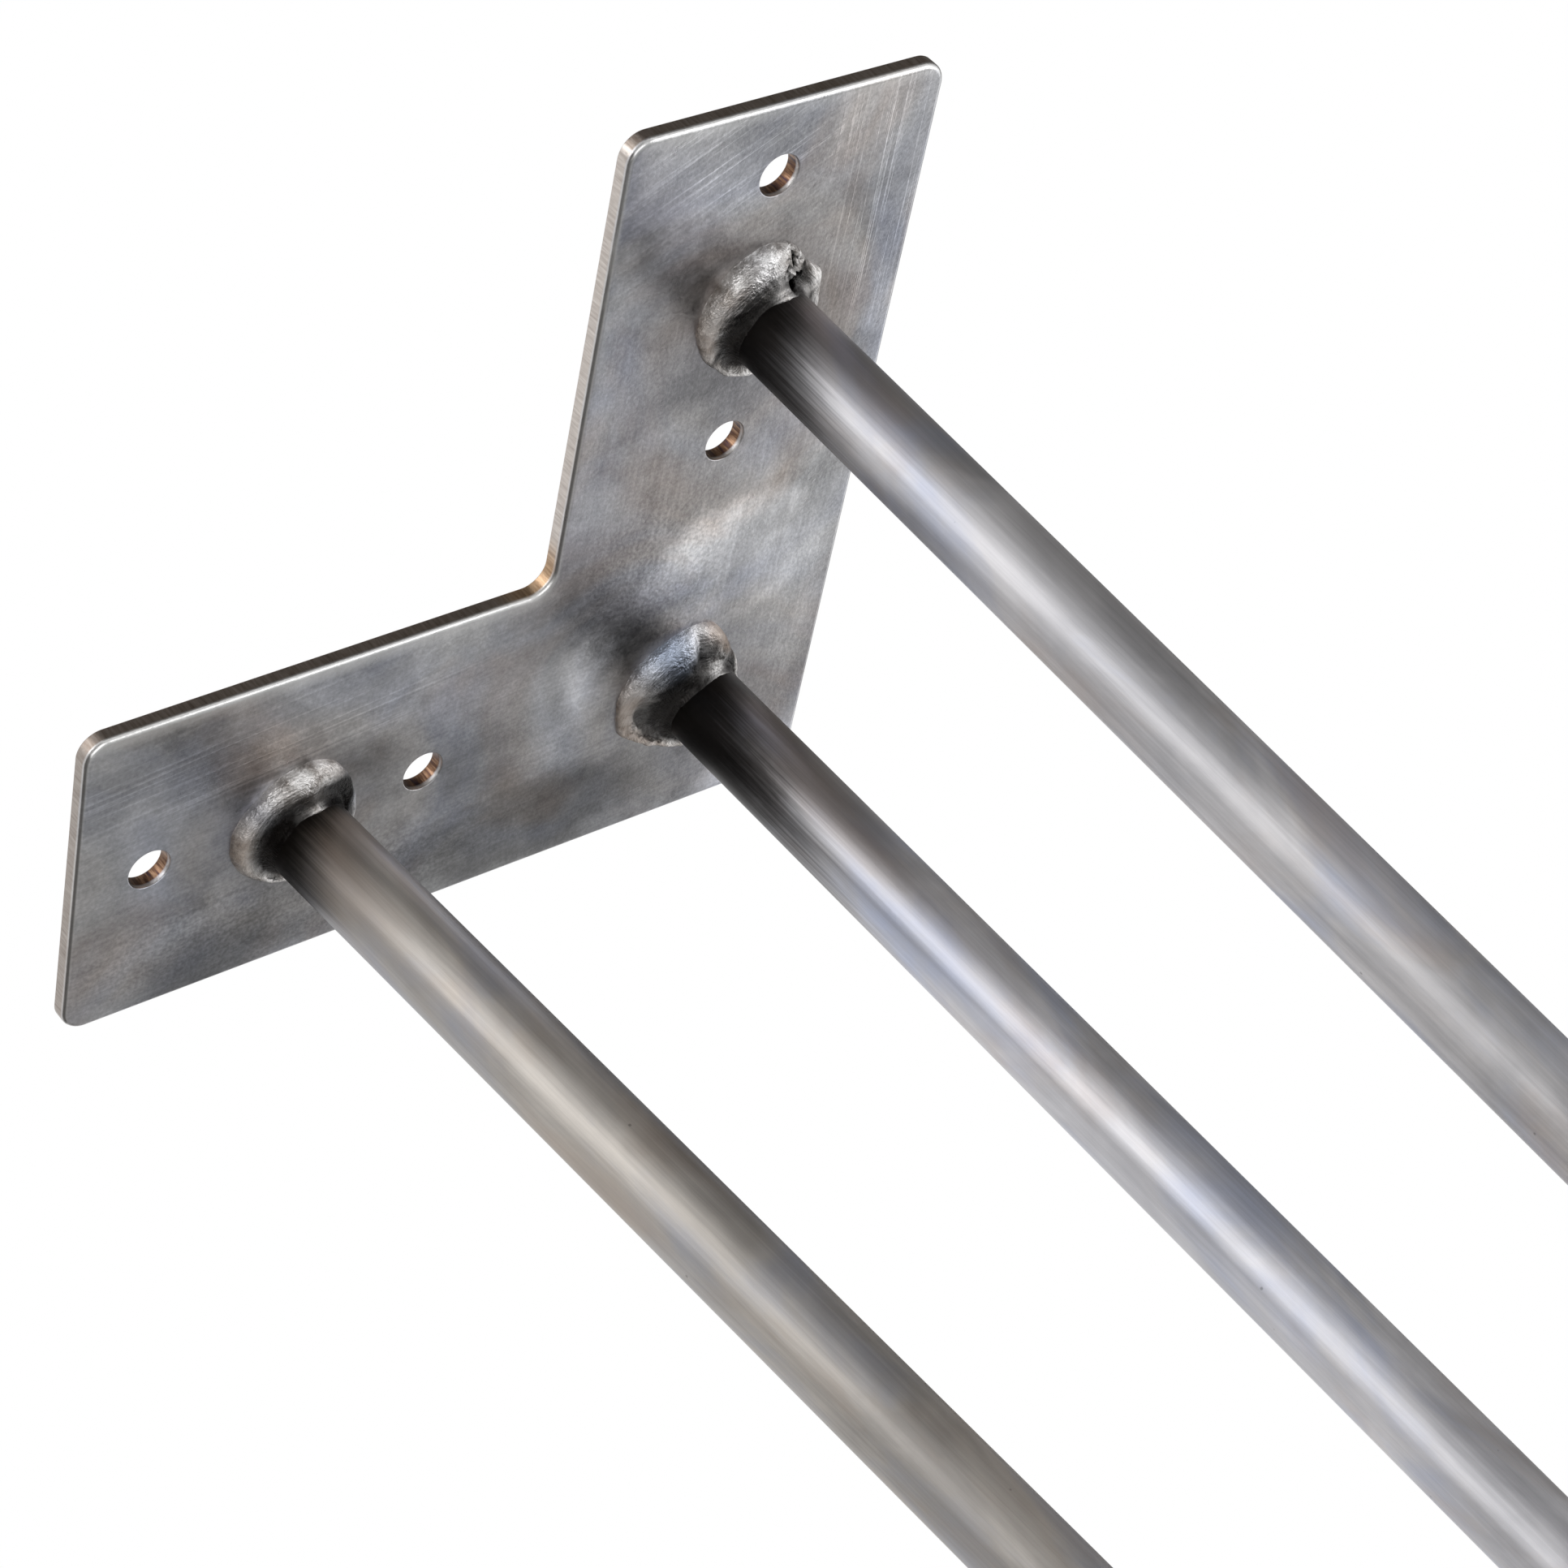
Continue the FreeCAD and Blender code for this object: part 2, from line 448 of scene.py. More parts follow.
@dataclass(frozen=True)
class GroundSheetSteel:
    """Cold-rolled mild steel sheet, cut by laser, ground by hand and left raw.

    It shows the eye a grey, cloudy metal with faint brush lines along the arms, blue and brown
    tints from the welds' heat, copper-coloured scale on the cut walls and bright worn rims. Its
    paler and darker patches are partly its own uneven tone and partly painted reflection, light
    and shade. The walls that face +X carry a painted sheen, the rims along the edges that face +Y
    a painted highlight, and the crease under the walls that face +X a painted line of shade.
    The grit's lines and specks, which are really about 0.1 mm wide, are drawn as coarse as they
    need to show.
    """

    pale: str = "#C9C9CB"
    dull: str = "#929294"
    blue: str = "#A2A9BE"
    brown: str = "#AE9A8A"
    worn: str = "#DEDDDB"
    painted_highlight: str = "#F2F2F1"
    painted_crease_shade: str = "#3C3835"
    heat: Stops = (
        (0.0, "#8F8A88"), (0.14, "#B4AFAC"), (0.3, "#DDD6D0"), (0.5, "#E2E5EE"),
        (0.85, "#FFFFFF"))
    scale: Stops = ((0.3, "#6F635A"), (0.7, "#938A83"))
    painted_sheen: Stops = ((0.3, "#A79E98"), (0.7, "#CDC6C0"))
    copper: Stops = ((0.3, "#8A7058"), (0.7, "#BFA386"))
    burnt: Stops = ((0.3, "#2C2432"), (0.5, "#5F4636"), (0.68, "#937660"))
    cloud_size: float = 17.0
    tint_size: float = 30.0
    mottle_size: float = 3.2
    grain_size: float = 0.6
    brush_length: float = 34.0
    brush_width: float = 0.5
    brush_turns: Triple = (6.0, 90.0, 25.0)
    scratched: tuple[tuple[float, float, float, float], ...] = (
        (72, 15, 34, 9), (-18, 74, 8, 26), (4, 88, 26, 9))
    coarse: tuple[tuple[float, float, float, float], ...] = ((8, 20, 15, 18), (60, -16, 40, 10))
    patches: tuple[Patch, ...] = (
        Patch(-7, 19, 17, 12, 0, 1.34, 0.8, 1.05),
        Patch(-1, 24, 11, 6, -25, 1.30, 0.3, 1.2),
        Patch(-16, 0, 12, 8, 90, 1.12),
        Patch(-23.5, 5, 22, 2.5, 90, 0.76),
        Patch(14.5, 7, 8, 5, 80, 1.95, 0.3, 1.3),
        Patch(22, -2, 8, 5, 60, 1.10),
        Patch(-18, -21, 9, 6, 0, 2.1),
        Patch(13, 27, 12, 5.5, 60, 0.86),
        Patch(8, 12.5, 11, 5, 135, 0.55),
        Patch(0, 33, 7, 6, 0, 0.80),
        Patch(4, 52, 8, 7, 0, 0.74),
        Patch(-19, 74, 22, 6.5, 90, 0.80),
        Patch(13, 77, 10, 5, 60, 1.45),
        Patch(14, 84, 14, 5, 20, 1.18),
        Patch(26, -17, 25, 9, 0, 0.50, 0.6, 1.25),
        Patch(31, -1, 11, 9, 0, 0.64, 0.3, 1.3),
        Patch(74, -22, 11, 8, 0, 0.45, 0.3, 1.4),
        Patch(92, 0, 24, 5, 90, 0.78),
        Patch(88, 18, 10, 7, 0, 0.82),
        Patch(79.5, 19, 8, 3.5, 67, 0.84),
        Patch(67, 11, 6, 5, 0, 1.50),
        Patch(46, 15, 13, 8, 5, 1.20),
        Patch(54, 6, 6, 4, 140, 0.78),
    )

    def material(self, sizes: LegSizes) -> Material:
        """Builds the plate's material.

        Args:
            sizes: the leg's sizes, for the welds' and the holes' places.

        Returns:
            The finished material.
        """
        made, node = new_material("cold_rolled_sheet_ground_by_hand")
        flat = millimetres(node)
        x, y, z = (node("SeparateXYZ", flat, output=axis) for axis in "XYZ")
        cloud, mottle, grain, tint = (
            node("TexNoise", flat, None, 1 / size, detail, rough, named={"Distortion": bent},
                 output=output)
            for size, detail, rough, bent, output in (
                (self.cloud_size, 4, 0.55, 0.6, "Fac"), (self.mottle_size, 5, 0.65, 0, "Fac"),
                (self.grain_size, 2, 0.6, 0, "Fac"), (self.tint_size, 3, 0.5, 1.2, "Color")))
        brushed = self.brush_lines(node, flat, x, y)
        scratch = product(node, share_near(node, flat, self.scratched), (brushed, 0.53, 0.66))

        # Colour: cloudy greys, then tints, then the heat round each weld.
        steel = node("ValToRGB", node("Mix", 0.3, None, cloud, mottle), stops=(
            (0.36, self.dull), (0.64, self.pale)))
        green, blue = (node("SeparateColor", tint, output=part) for part in ("Green", "Blue"))
        steel = coat(node, steel, ((green, 0.46, 0.70, 0, 0.42), self.blue),
                     ((blue, 0.50, 0.72, 0, 0.42), self.brown))
        wobbled = node("VectorMath MULTIPLY_ADD", tint, (12, 12, 12), flat)
        wobbled = node("VectorMath SUBTRACT", wobbled, (6, 6, 6))
        for seat in (sizes.arm_seat(Arm.X), sizes.corner_seat, sizes.arm_seat(Arm.Y)):
            away = node("VectorMath DISTANCE", wobbled, seat, output=1)
            ring = node("ValToRGB", node("MapRange", away, 9, 34), stops=self.heat)
            steel = node("Mix", 0.5, named={6: steel, 7: ring}, output=2, data_type="RGBA",
                         blend_type="MULTIPLY")

        # Tone: the listed patches, the brush lines and the specks.
        tone: Socket | float = 1.0
        # The patches are partly the steel's own uneven tone and partly painted reflection, light
        # and shade.
        for patch in self.patches:
            away = oval_distance(
                node, wobbled, patch.x, patch.y, patch.length, patch.width, patch.turn)
            tone = node("Math MULTIPLY", tone, node(
                "MapRange", away, patch.core, patch.edge, patch.tone, 1,
                interpolation_type="SMOOTHSTEP"))
        lined = node("MapRange", brushed, 0.3, 0.7, 0.91, 1.09)
        tone = node("Math MULTIPLY", tone, node("Math MULTIPLY_ADD", scratch, 0.26, lined))
        coarse = share_near(node, flat, self.coarse)
        speck = product(node, 1.0, (grain, 0.35, 0.70, -0.5, 1.0), (coarse, 0, 1, 0.16, 0.30))
        tone = node("Math MULTIPLY", tone, node("Math ADD", speck, 1.0))
        steel = node("VectorMath SCALE", steel, None, None, tone)

        # The cut walls: streaked scale, with a painted sheen on those that face +X, copper-coloured
        # in the inner corner and burnt in the holes. Each range lies by an edge, a hole or the
        # underside.
        streaks = node("TexNoise", node("VectorMath MULTIPLY", flat, (2.2, 2.2, 0.25)), None,
                       1, 3, 0.6)
        scale, painted_sheen, copper, burnt = (
            node("ValToRGB", streaks, stops=stops)
            for stops in (self.scale, self.painted_sheen, self.copper, self.burnt))
        low, half = sizes.underside, sizes.arm_width / 2
        end, hole = sizes.arm_length - half, sizes.hole_diameter / 2 + 0.5
        in_corner = share_near(node, flat, ((half, half, 8, 8),))
        in_holes = share_near(node, flat, tuple(
            (*centre, hole, hole) for centre in sizes.hole_centres), 1, 1 - 0.2 / hole, "LINEAR")
        faces_x = node(
            "Math MAXIMUM", product(node, 1.0, (x, end - 0.85, end - 0.6)),
            product(node, 1.0, (x, half - 0.85, half - 0.6), (y, half + 1, half + 3)))
        # Painted sheen: the walls that face +X are painted lighter.
        painted_sheen_share = product(node, faces_x, (x, half + 5, end - 5, 1.0, 0.3))
        wall = coat(node, scale, (painted_sheen_share, painted_sheen), (in_corner, copper), (in_holes, burnt))
        on_wall = product(node, 1.0, (z, low + 0.4, low + 0.9), (z, -0.02, -0.1))

        # The rolled rim is worn, with a painted highlight along the edges that face +Y and a
        # painted line of shade in the crease under the walls that face +X.
        under_wall = (z, low + 0.8, low + 0.4)
        on_rim = product(node, 1.0, (z, low + 0.01, low + 0.2, 0, 0.55), under_wall)
        # Painted highlight along the rims of the edges that face +Y.
        painted_rim_highlight = node(
            "Math MAXIMUM", product(node, 0.5, (y, end - 2.4, end - 0.2)),
            product(node, 1.0, (y, half - 2.4, half - 0.2), (x, half - 1, half + 2)))
        painted_rim_highlight = product(node, painted_rim_highlight, (*under_wall, 0, 0.7))
        # Painted shade: a dark line in the crease under the walls that face +X.
        painted_crease_shade = product(
            node, faces_x, (z, low + 0.55, low + 0.4, 0, 0.7), (z, low + 0.08, low + 0.2),
            (cloud, 0.30, 0.50, 0.4, 1.0))
        colour = coat(node, steel, (on_wall, wall), (on_rim, self.worn), (painted_rim_highlight, self.painted_highlight),
                      (painted_crease_shade, self.painted_crease_shade))
        rough = node("MapRange", mottle, 0.3, 0.7, 0.27, 0.37)
        return dress(
            made, colour, rough, ((grain, 1), (scratch, 0.5), (mottle, 1.5)), 0.5, 0.00005)

    def brush_lines(self, node: NodeAdder, flat: Socket, x: Socket, y: Socket) -> Socket:
        """Adds brush lines that follow each arm, and slant near the Y arm's end.

        Args:
            node: adds a node to the material.
            flat, x, y: the plate's coordinates in millimetres, together and apart.

        Returns:
            The lines. Where the arms meet, one set fades into the other.
        """
        paces = (1 / self.brush_length, 1 / self.brush_width, 1)
        along_x, along_y, slanting = (
            node("TexNoise", node("VectorMath MULTIPLY", node(
                "VectorRotate", flat, None, (0, 0, 1), math.radians(turn)), paces), None, 1, 2, 0.6)
            for turn in self.brush_turns)
        on_y_arm, near_end, off_edge = (
            node("MapRange", *limits, interpolation_type="SMOOTHSTEP")
            for limits in ((node("Math SUBTRACT", y, x), -12, 12), (y, 58, 78), (x, -14, -4)))
        slant = node("Math MULTIPLY", near_end, off_edge)
        return node("Mix", on_y_arm, None, along_x, node("Mix", slant, None, along_y, slanting))


@dataclass(frozen=True)
class DrawnBarSteel:
    """Cold-drawn round mild steel bar, left raw.

    It shows the eye a smooth satin grey with faint lines along the bar, slow blue and brown
    clouds, a few tiny pits, and a black-brown bloom beside each weld that is partly soot and
    partly painted shade and reflection, darker on one side and fading away down the bar. The
    bars also carry painted light and shade along their length. The drawing lines, which are
    really about 0.1 mm wide, are drawn as coarse as they need to show.
    """

    pale: str = "#D0CECC"
    dull: str = "#AEADAD"
    blue: str = "#ACB3C4"
    brown: str = "#B4A496"
    film: str = "#6E6157"
    soot_and_shade: str = "#1C1917"
    painted_shade_cast: str = "#FFFAF4"
    painted_light_cast: str = "#F8F9FF"
    line_length: float = 30.0
    line_width: float = 0.5
    cloud_size: float = 16.0
    pit_size: float = 8.0

    def material(self) -> Material:
        """Builds the bars' material, which reads each bar's own coordinates.

        Returns:
            The finished material.
        """
        made, node = new_material("cold_drawn_bar_raw")
        place, marks = (
            node("Attribute", output="Vector", attribute_name=name)
            for name in ("bar_place", "bar_marks"))
        from_weld, soot_and_shade_side_share, painted_light_tone = (node("SeparateXYZ", marks, output=axis) for axis in "XYZ")
        thin = 1 / self.line_width
        lengthways = node("VectorMath MULTIPLY", place, (thin, thin, 1 / self.line_length))
        lines = node("TexNoise", lengthways, None, 1, 3, 0.7)
        slow = node("VectorMath MULTIPLY", place, (1.6, 1.6, 0.6))
        cloud = node("TexNoise", slow, None, 1 / self.cloud_size, 4, 0.55,
                     named={"Distortion": 0.4}, output="Color")
        red, green, blue = (
            node("SeparateColor", cloud, output=part) for part in ("Red", "Green", "Blue"))
        steel = coat(node, self.dull, ((red, 0.35, 0.65), self.pale),
                     ((green, 0.48, 0.7, 0, 0.7), self.blue),
                     ((blue, 0.5, 0.72, 0, 0.4), self.brown))

        # Rare pits, each a fraction of a millimetre across.
        cells = node("TexVoronoi", output="Distance", named={
            "Vector": place, "Scale": 1 / self.pit_size, "Randomness": 1.0})
        pits = node("MapRange", cells, 0.018, 0.034, 0.6, 1.0)
        steel = node("VectorMath SCALE", steel, None, None,
                     product(node, pits, (lines, 0.3, 0.7, 0.90, 1.08)))

        # Soot and painted shade: black beside the weld and darker on one side, then a brown film on
        # the side that got less soot.
        film = node("MapRange", from_weld, 3.2, 0.8, 0, 0.75, interpolation_type="SMOOTHSTEP")
        steel = coat(node, steel, (product(node, film, (soot_and_shade_side_share, 0.65, 0.15)), self.film))
        # Painted light and shade along the bars, with a cooler cast where they are painted brighter
        # and a warmer one where darker.
        steel = node("VectorMath SCALE", steel, None, None, painted_light_tone)
        cast = coat(node, self.painted_shade_cast, ((painted_light_tone, 0.78, 1.0), self.painted_light_cast))
        steel = node("VectorMath MULTIPLY", steel, cast)
        fade = node("Math MULTIPLY_ADD", green, 0.9, from_weld)
        fade = node("Math MULTIPLY_ADD", lines, 0.4, fade)
        soot_and_shade = node("MapRange", fade, 0.80, 1.85, 0.98, 0, interpolation_type="SMOOTHERSTEP")
        rough = node("MapRange", red, 0.3, 0.7, 0.40, 0.48)
        return dress(made, coat(node, steel, (soot_and_shade, self.soot_and_shade)), rough,
                     ((pits, 1), (lines, 0.5), (blue, 3)), 0.5, 0.00005)


@dataclass(frozen=True)
class WeldMetal:
    """Steel weld metal, laid by hand and brushed with wire.

    It shows the eye a bright brushed crest with fine curved ripples, tan and blue heat tints,
    and a black valley beside the bar that is partly soot and partly painted shade and
    reflection. The wire's marks, which are really about 0.1 mm wide, are drawn as coarse as they
    need to show.
    """

    bright: str = "#E6E4E3"
    dull: str = "#918C88"
    blue: str = "#A4AEC0"
    tan: str = "#AE9A8A"
    soot_and_shade: str = "#181615"
    ripple_width: float = 0.5
    brush_width: float = 0.45
    pore_size: float = 0.7
    patch_size: float = 20 / 7

    def material(self) -> Material:
        """Builds the beads' material, which reads each bead's own coordinates.

        Returns:
            The finished material.
        """
        made, node = new_material("weld_metal_wire_brushed")
        flat = millimetres(node)
        place, looks = (
            node("Attribute", output="Vector", attribute_name=name)
            for name in ("bead_place", "bead_looks"))
        soot_and_shade, warm, cool = (node("SeparateXYZ", looks, output=axis) for axis in "XYZ")
        thin = 1 / self.ripple_width
        ripples, brushed = (
            node("TexNoise", node("VectorMath MULTIPLY", place, paces), None, 1, 3, 0.7)
            for paces in ((thin, thin, 0.4), (0.3, 0.3, 1 / self.brush_width)))
        pores = node("TexNoise", flat, None, 1 / self.pore_size, 3, 0.6)
        patches = node("TexNoise", flat, None, 1 / self.patch_size, 4, 0.6)
        metal = coat(node, self.dull, ((patches, 0.35, 0.62), self.bright), (warm, self.tan),
                     (cool, self.blue))
        metal = node("VectorMath SCALE", metal, None, None, product(
            node, 1.0, (ripples, 0.3, 0.7, 0.92, 1.08), (brushed, 0.3, 0.7, 0.80, 1.16)))
        # Soot and painted shade, broken up by the patches.
        soot_and_shade_share = node("Math MULTIPLY_ADD", patches, 0.24, soot_and_shade)
        soot_and_shade_share = node("Math SUBTRACT", soot_and_shade_share, 0.12, use_clamp=True)
        rough = node("MapRange", soot_and_shade, 0, 1, 0.30, 0.42)
        rough = node("Math MULTIPLY_ADD", warm, 0.25, rough)
        return dress(made, coat(node, metal, (soot_and_shade_share, self.soot_and_shade)), rough,
                     ((pores, 1), (ripples, 0.6), (brushed, 0.8)), 0.8, 0.00028)


def matt_paint(name: str, colour: str) -> Material:
    """Makes matt paint with a faint roller texture.

    Args:
        name: the material's name.
        colour: the paint's hex colour.

    Returns:
        The material.
    """
    made, node = new_material(name, metallic=0.0)
    roller = node("TexNoise", node("TexCoord", output="Object"), None, 400)
    return dress(made, colour, 0.9, ((roller, 1),), 0.1, 0.0002)


@dataclass
class MountingPlate:
    """The flat L-shaped plate with two screw holes in each arm.

    Attributes:
        sizes: the leg's sizes.
        finish: the plate's material.
        corner_radius: the outline's corners.
        rim_radius: the rolled rim round the lower face.
        hole_break: the small bevel where a hole meets a face.
    """

    sizes: LegSizes
    finish: Material
    corner_radius: float = 3.5
    rim_radius: float = 0.8
    hole_break: float = 0.15

    def build(self) -> Piece:
        """Models the plate.

        Returns:
            The plate.
        """
        piece = self.model_outline()
        self.roll_rim()
        self.cut_holes(piece)
        self.break_hole_edges()
        settle_piece(piece, "steel_mounting_plate", self.finish)
        return piece

    def model_outline(self) -> Piece:
        """Extrudes two arms from a square, rounds the corners and gives the plate its thickness.

        Returns:
            The plate, in edit mode.
        """
        sizes, half = self.sizes, self.sizes.arm_width / 2
        grow = sizes.arm_length - sizes.arm_width
        start_piece()
        bpy.ops.mesh.primitive_plane_add(size=sizes.arm_width * MM, location=(0, 0, 0))
        piece = bpy.context.object
        bpy.ops.object.mode_set(mode="EDIT")
        pick(Pick.EDGES, lambda point: point.x > half - 0.01)
        extrude((grow, 0, 0))
        pick(Pick.EDGES, lambda point: point.y > half - 0.01 and point.x < half + 0.01)
        extrude((0, grow, 0))
        bpy.ops.mesh.select_all(action="SELECT")
        bpy.ops.mesh.dissolve_limited(angle_limit=math.radians(1))
        bpy.ops.mesh.select_mode(type="VERT")
        bpy.ops.mesh.select_all(action="SELECT")
        bevel(self.corner_radius, 14, "VERTICES")
        bpy.ops.mesh.select_all(action="SELECT")
        extrude((0, 0, -sizes.plate_thickness))
        bpy.ops.mesh.select_all(action="SELECT")
        bpy.ops.mesh.normals_make_consistent(inside=False)
        return piece

    def roll_rim(self) -> None:
        """Rolls the lower rim, and breaks the upper one by a hair."""
        low = self.sizes.underside
        pick(Pick.EDGES, lambda point: point.z < low + 0.01)
        bevel(self.rim_radius, 6)
        pick(Pick.EDGES, lambda point: point.z > -0.01)
        bevel(self.hole_break, 2)
        bpy.ops.object.mode_set(mode="OBJECT")

    def cut_holes(self, piece: Piece) -> None:
        """Cuts the screw holes.

        Args:
            piece: the plate.
        """
        sizes = self.sizes
        for x, y in sizes.hole_centres:
            start_piece()
            bpy.ops.mesh.primitive_cylinder_add(
                vertices=72, radius=sizes.hole_diameter / 2 * MM,
                depth=4 * sizes.plate_thickness * MM, location=(x * MM, y * MM, 0))
            cutter = bpy.context.object
            start_piece()
            piece.select_set(True)
            bpy.context.view_layer.objects.active = piece
            cut = piece.modifiers.new("screw_hole", "BOOLEAN")
            cut.object, cut.operation, cut.solver = cutter, "DIFFERENCE", "EXACT"
            bpy.ops.object.modifier_apply(modifier=cut.name)
            bpy.data.objects.remove(cutter)

    def break_hole_edges(self) -> None:
        """Bevels the holes' edges by a hair."""
        sizes = self.sizes
        reach = sizes.hole_diameter / 2 + 0.02

        def at_hole(point: Vector) -> bool:
            """True for a point on a hole's edge, on either face."""
            on_face = point.z > -0.01 or point.z < sizes.underside + 0.01
            return on_face and any(
                math.hypot(point.x - x, point.y - y) < reach for x, y in sizes.hole_centres)

        bpy.ops.object.mode_set(mode="EDIT")
        pick(Pick.EDGES, at_hole)
        bevel(self.hole_break, 2)
        bpy.ops.object.mode_set(mode="OBJECT")


def smooth_step(low: float, high: float, value: float) -> float:
    """Returns 0 at low, 1 at high and a smooth curve between them."""
    share = min(1.0, max(0.0, (value - low) / (high - low)))
    return share * share * (3 - 2 * share)


@dataclass
class RoundBars:
    """The bent bar that makes two of the leg's rods, and the straight bar between them.

    Attributes:
        sizes: the leg's sizes.
        finish: the bars' material.
        facets: points round a bar.
        bend_steps: steps round the bend.
        sunk: how far a bar runs into the plate, in millimetres.
        soot_and_shade_lengths: how far the soot and painted shade reach down from the X arm, the
            Y arm and the corner.
        soot_and_shade_sides: direction of the side with most soot and painted shade at each of
            them, in degrees from +X towards +Y.
        painted_shade_tone: painted shade, as the tone of the bent bar, but for a length below the Y
            arm that is painted bright and has 1.
        painted_light_length: how far that length reaches down, in millimetres.
            painted_highlight_gain, painted_highlight_span: how much brighter the straight bar is
            painted at its top, a painted highlight, and the distances from the plate between which
            that fades away.
        pattern_shift: how far the straight bar's coordinates are moved across, so that its
            clouds are its own.
        foot_gap: from the straight bar's end to the bend's axis, in millimetres.
    """

    sizes: LegSizes
    finish: Material
    facets: int = 96
    bend_steps: int = 72
    sunk: float = 1.2
    soot_and_shade_lengths: Triple = (17.0, 19.0, 40.0)
    soot_and_shade_sides: Triple = (-70.0, -40.0, -40.0)
    painted_shade_tone: float = 0.78
    painted_light_length: float = 80.0
    painted_highlight_gain: float = 0.12
    painted_highlight_span: tuple[float, float] = (40.0, 110.0)
    pattern_shift: tuple[float, float] = (60.0, 40.0)
    foot_gap: float = 2.0

    def start_ring(self, place: Vector, along: Vector) -> Piece:
        """Adds the ring of points that a bar is drawn from, and enters edit mode.

        Args:
            place: the ring's middle, in millimetres.
            along: unit vector along the bar.

        Returns:
            The new piece.
        """
        start_piece()
        bpy.ops.mesh.primitive_circle_add(
            vertices=self.facets, radius=self.sizes.rod_radius * MM, location=place * MM,
            rotation=along.to_track_quat("Z", "Y").to_euler())
        bpy.ops.object.transform_apply(location=True, rotation=True, scale=True)
        piece = bpy.context.object
        bpy.ops.object.mode_set(mode="EDIT")
        bpy.ops.mesh.select_all(action="SELECT")
        return piece

    def finish_bar(
        self, piece: Piece, name: str, look_at: Callable[[Vector], tuple[Triple, Triple]]
    ) -> Piece:
        """Closes a bar and gives it its finish.

        Args:
            piece: the bar, in edit mode.
            name: the name that it gets.
            look_at: gives the bar's own coordinates and its marks for a point in millimetres.

        Returns:
            The bar.
        """
        close_and_turn_out()
        settle_piece(piece, name, self.finish)
        places, marks = zip(*(look_at(vertex.co / MM) for vertex in piece.data.vertices))
        store_points(piece, "bar_place", places)
        store_points(piece, "bar_marks", marks)
        return piece

    def build_bent(self) -> Piece:
        """Draws the bar from the X arm, spins it round the bend and draws it to the Y arm.

        Returns:
            The bent bar.
        """
        sizes = self.sizes
        seats = [sizes.arm_seat(arm) for arm in Arm]
        touches = [sizes.tangent_point(arm) for arm in Arm]
        runs = [(touch - seat).normalized() for touch, seat in zip(touches, seats)]
        tops = [seat - run * self.sunk for seat, run in zip(seats, runs)]
        spokes = [touch - sizes.bend_centre for touch in touches]
        lowest = sizes.foot - sizes.bend_centre
        axis = spokes[0].cross(lowest).normalized()
        sweep = 2 * spokes[0].angle(lowest)
        length = (touches[0] - seats[0]).length
        total = 2 * length + sweep * sizes.bend_radius
        piece = self.start_ring(tops[0], runs[0])
        extrude(touches[0] - tops[0])
        bpy.ops.mesh.spin(
            steps=self.bend_steps, angle=sweep, center=sizes.bend_centre * MM, axis=-axis)
        extrude(tops[1] - touches[1])

        def look_at(point: Vector) -> tuple[Triple, Triple]:
            """Works out what the finish reads at a point on the bar.

            Args:
                point: the point, in millimetres.

            Returns:
                Its coordinates across, off and along the bar, and its marks.
            """
            spoke = point - sizes.bend_centre
            across = axis * axis.dot(spoke)
            turn = math.atan2(axis.dot(spokes[0].cross(spoke)), spokes[0].dot(spoke - across))
            if 0.0 <= turn <= sweep and sizes.bend_down.dot(spoke) > 0:
                side = (spoke - across).length - sizes.bend_radius
                distance = length + sizes.bend_radius * turn
            else:
                end = int((point - seats[0]).length >= (point - seats[1]).length)
                side = (point - seats[end]).dot(spokes[end].normalized())
                distance = (point - seats[end]).dot(runs[end])
                distance = total - distance if end else distance
            end = int(distance >= total / 2)
            off = point - seats[end]
            # Painted light and shade: the bent bar is painted darker but for a length below the Y
            # arm.
            bright = smooth_step(
                self.painted_light_length * 1.6, self.painted_light_length * 0.4, total - distance)
            tone = self.painted_shade_tone + (1 - self.painted_shade_tone) * bright
            off_axis = off - runs[end] * off.dot(runs[end])
            marks = self.mark(off_axis, min(distance, total - distance), end, tone)
            return (axis.dot(spoke), side, distance), marks

        return self.finish_bar(piece, "bent_round_bar", look_at)

    def mark(self, off_axis: Vector, distance: float, weld: int, tone: float) -> Triple:
        """Returns what the bars' finish reads at a point.

        Args:
            off_axis: from the bar's axis to the point.
            distance: from the nearest weld, in millimetres.
            weld: that weld's index: 0 on the X arm, 1 on the Y arm and 2 at the corner.
            tone: the bar's painted light tone.

        Returns:
            The distance as a share of the reach of the soot and painted shade there, how much of
            them that side gets, and the painted light tone.
        """
        # One side of each bar gets more soot and painted shade than the other.
        turn = math.radians(self.soot_and_shade_sides[weld])
        side = off_axis.dot(Vector((math.cos(turn), math.sin(turn), 0))) / self.sizes.rod_radius
        soot_and_shade_side_share = 0.5 + 0.5 * side
        return distance / (self.soot_and_shade_lengths[weld] * (0.3 + 1.1 * soot_and_shade_side_share)), soot_and_shade_side_share, tone

    def build_straight(self) -> Piece:
        """Draws the straight bar from the plate's corner to the bend.

        Returns:
            The straight bar.
        """
        seat, foot = self.sizes.corner_seat, self.sizes.foot
        along = (foot - seat).normalized()
        top = seat - along * self.sunk
        piece = self.start_ring(top, along)
        extrude(foot - along * self.foot_gap - top)
        side = along.cross(Vector((0, 0, 1))).normalized()
        front = along.cross(side)
        near, far = self.painted_highlight_span
        shift_side, shift_front = self.pattern_shift

        def look_at(point: Vector) -> tuple[Triple, Triple]:
            """Works out what the finish reads at a point on the bar.

            Args:
                point: the point, in millimetres.

            Returns:
                Its coordinates across and along the bar, and its marks.
            """
            off = point - seat
            distance = off.dot(along)
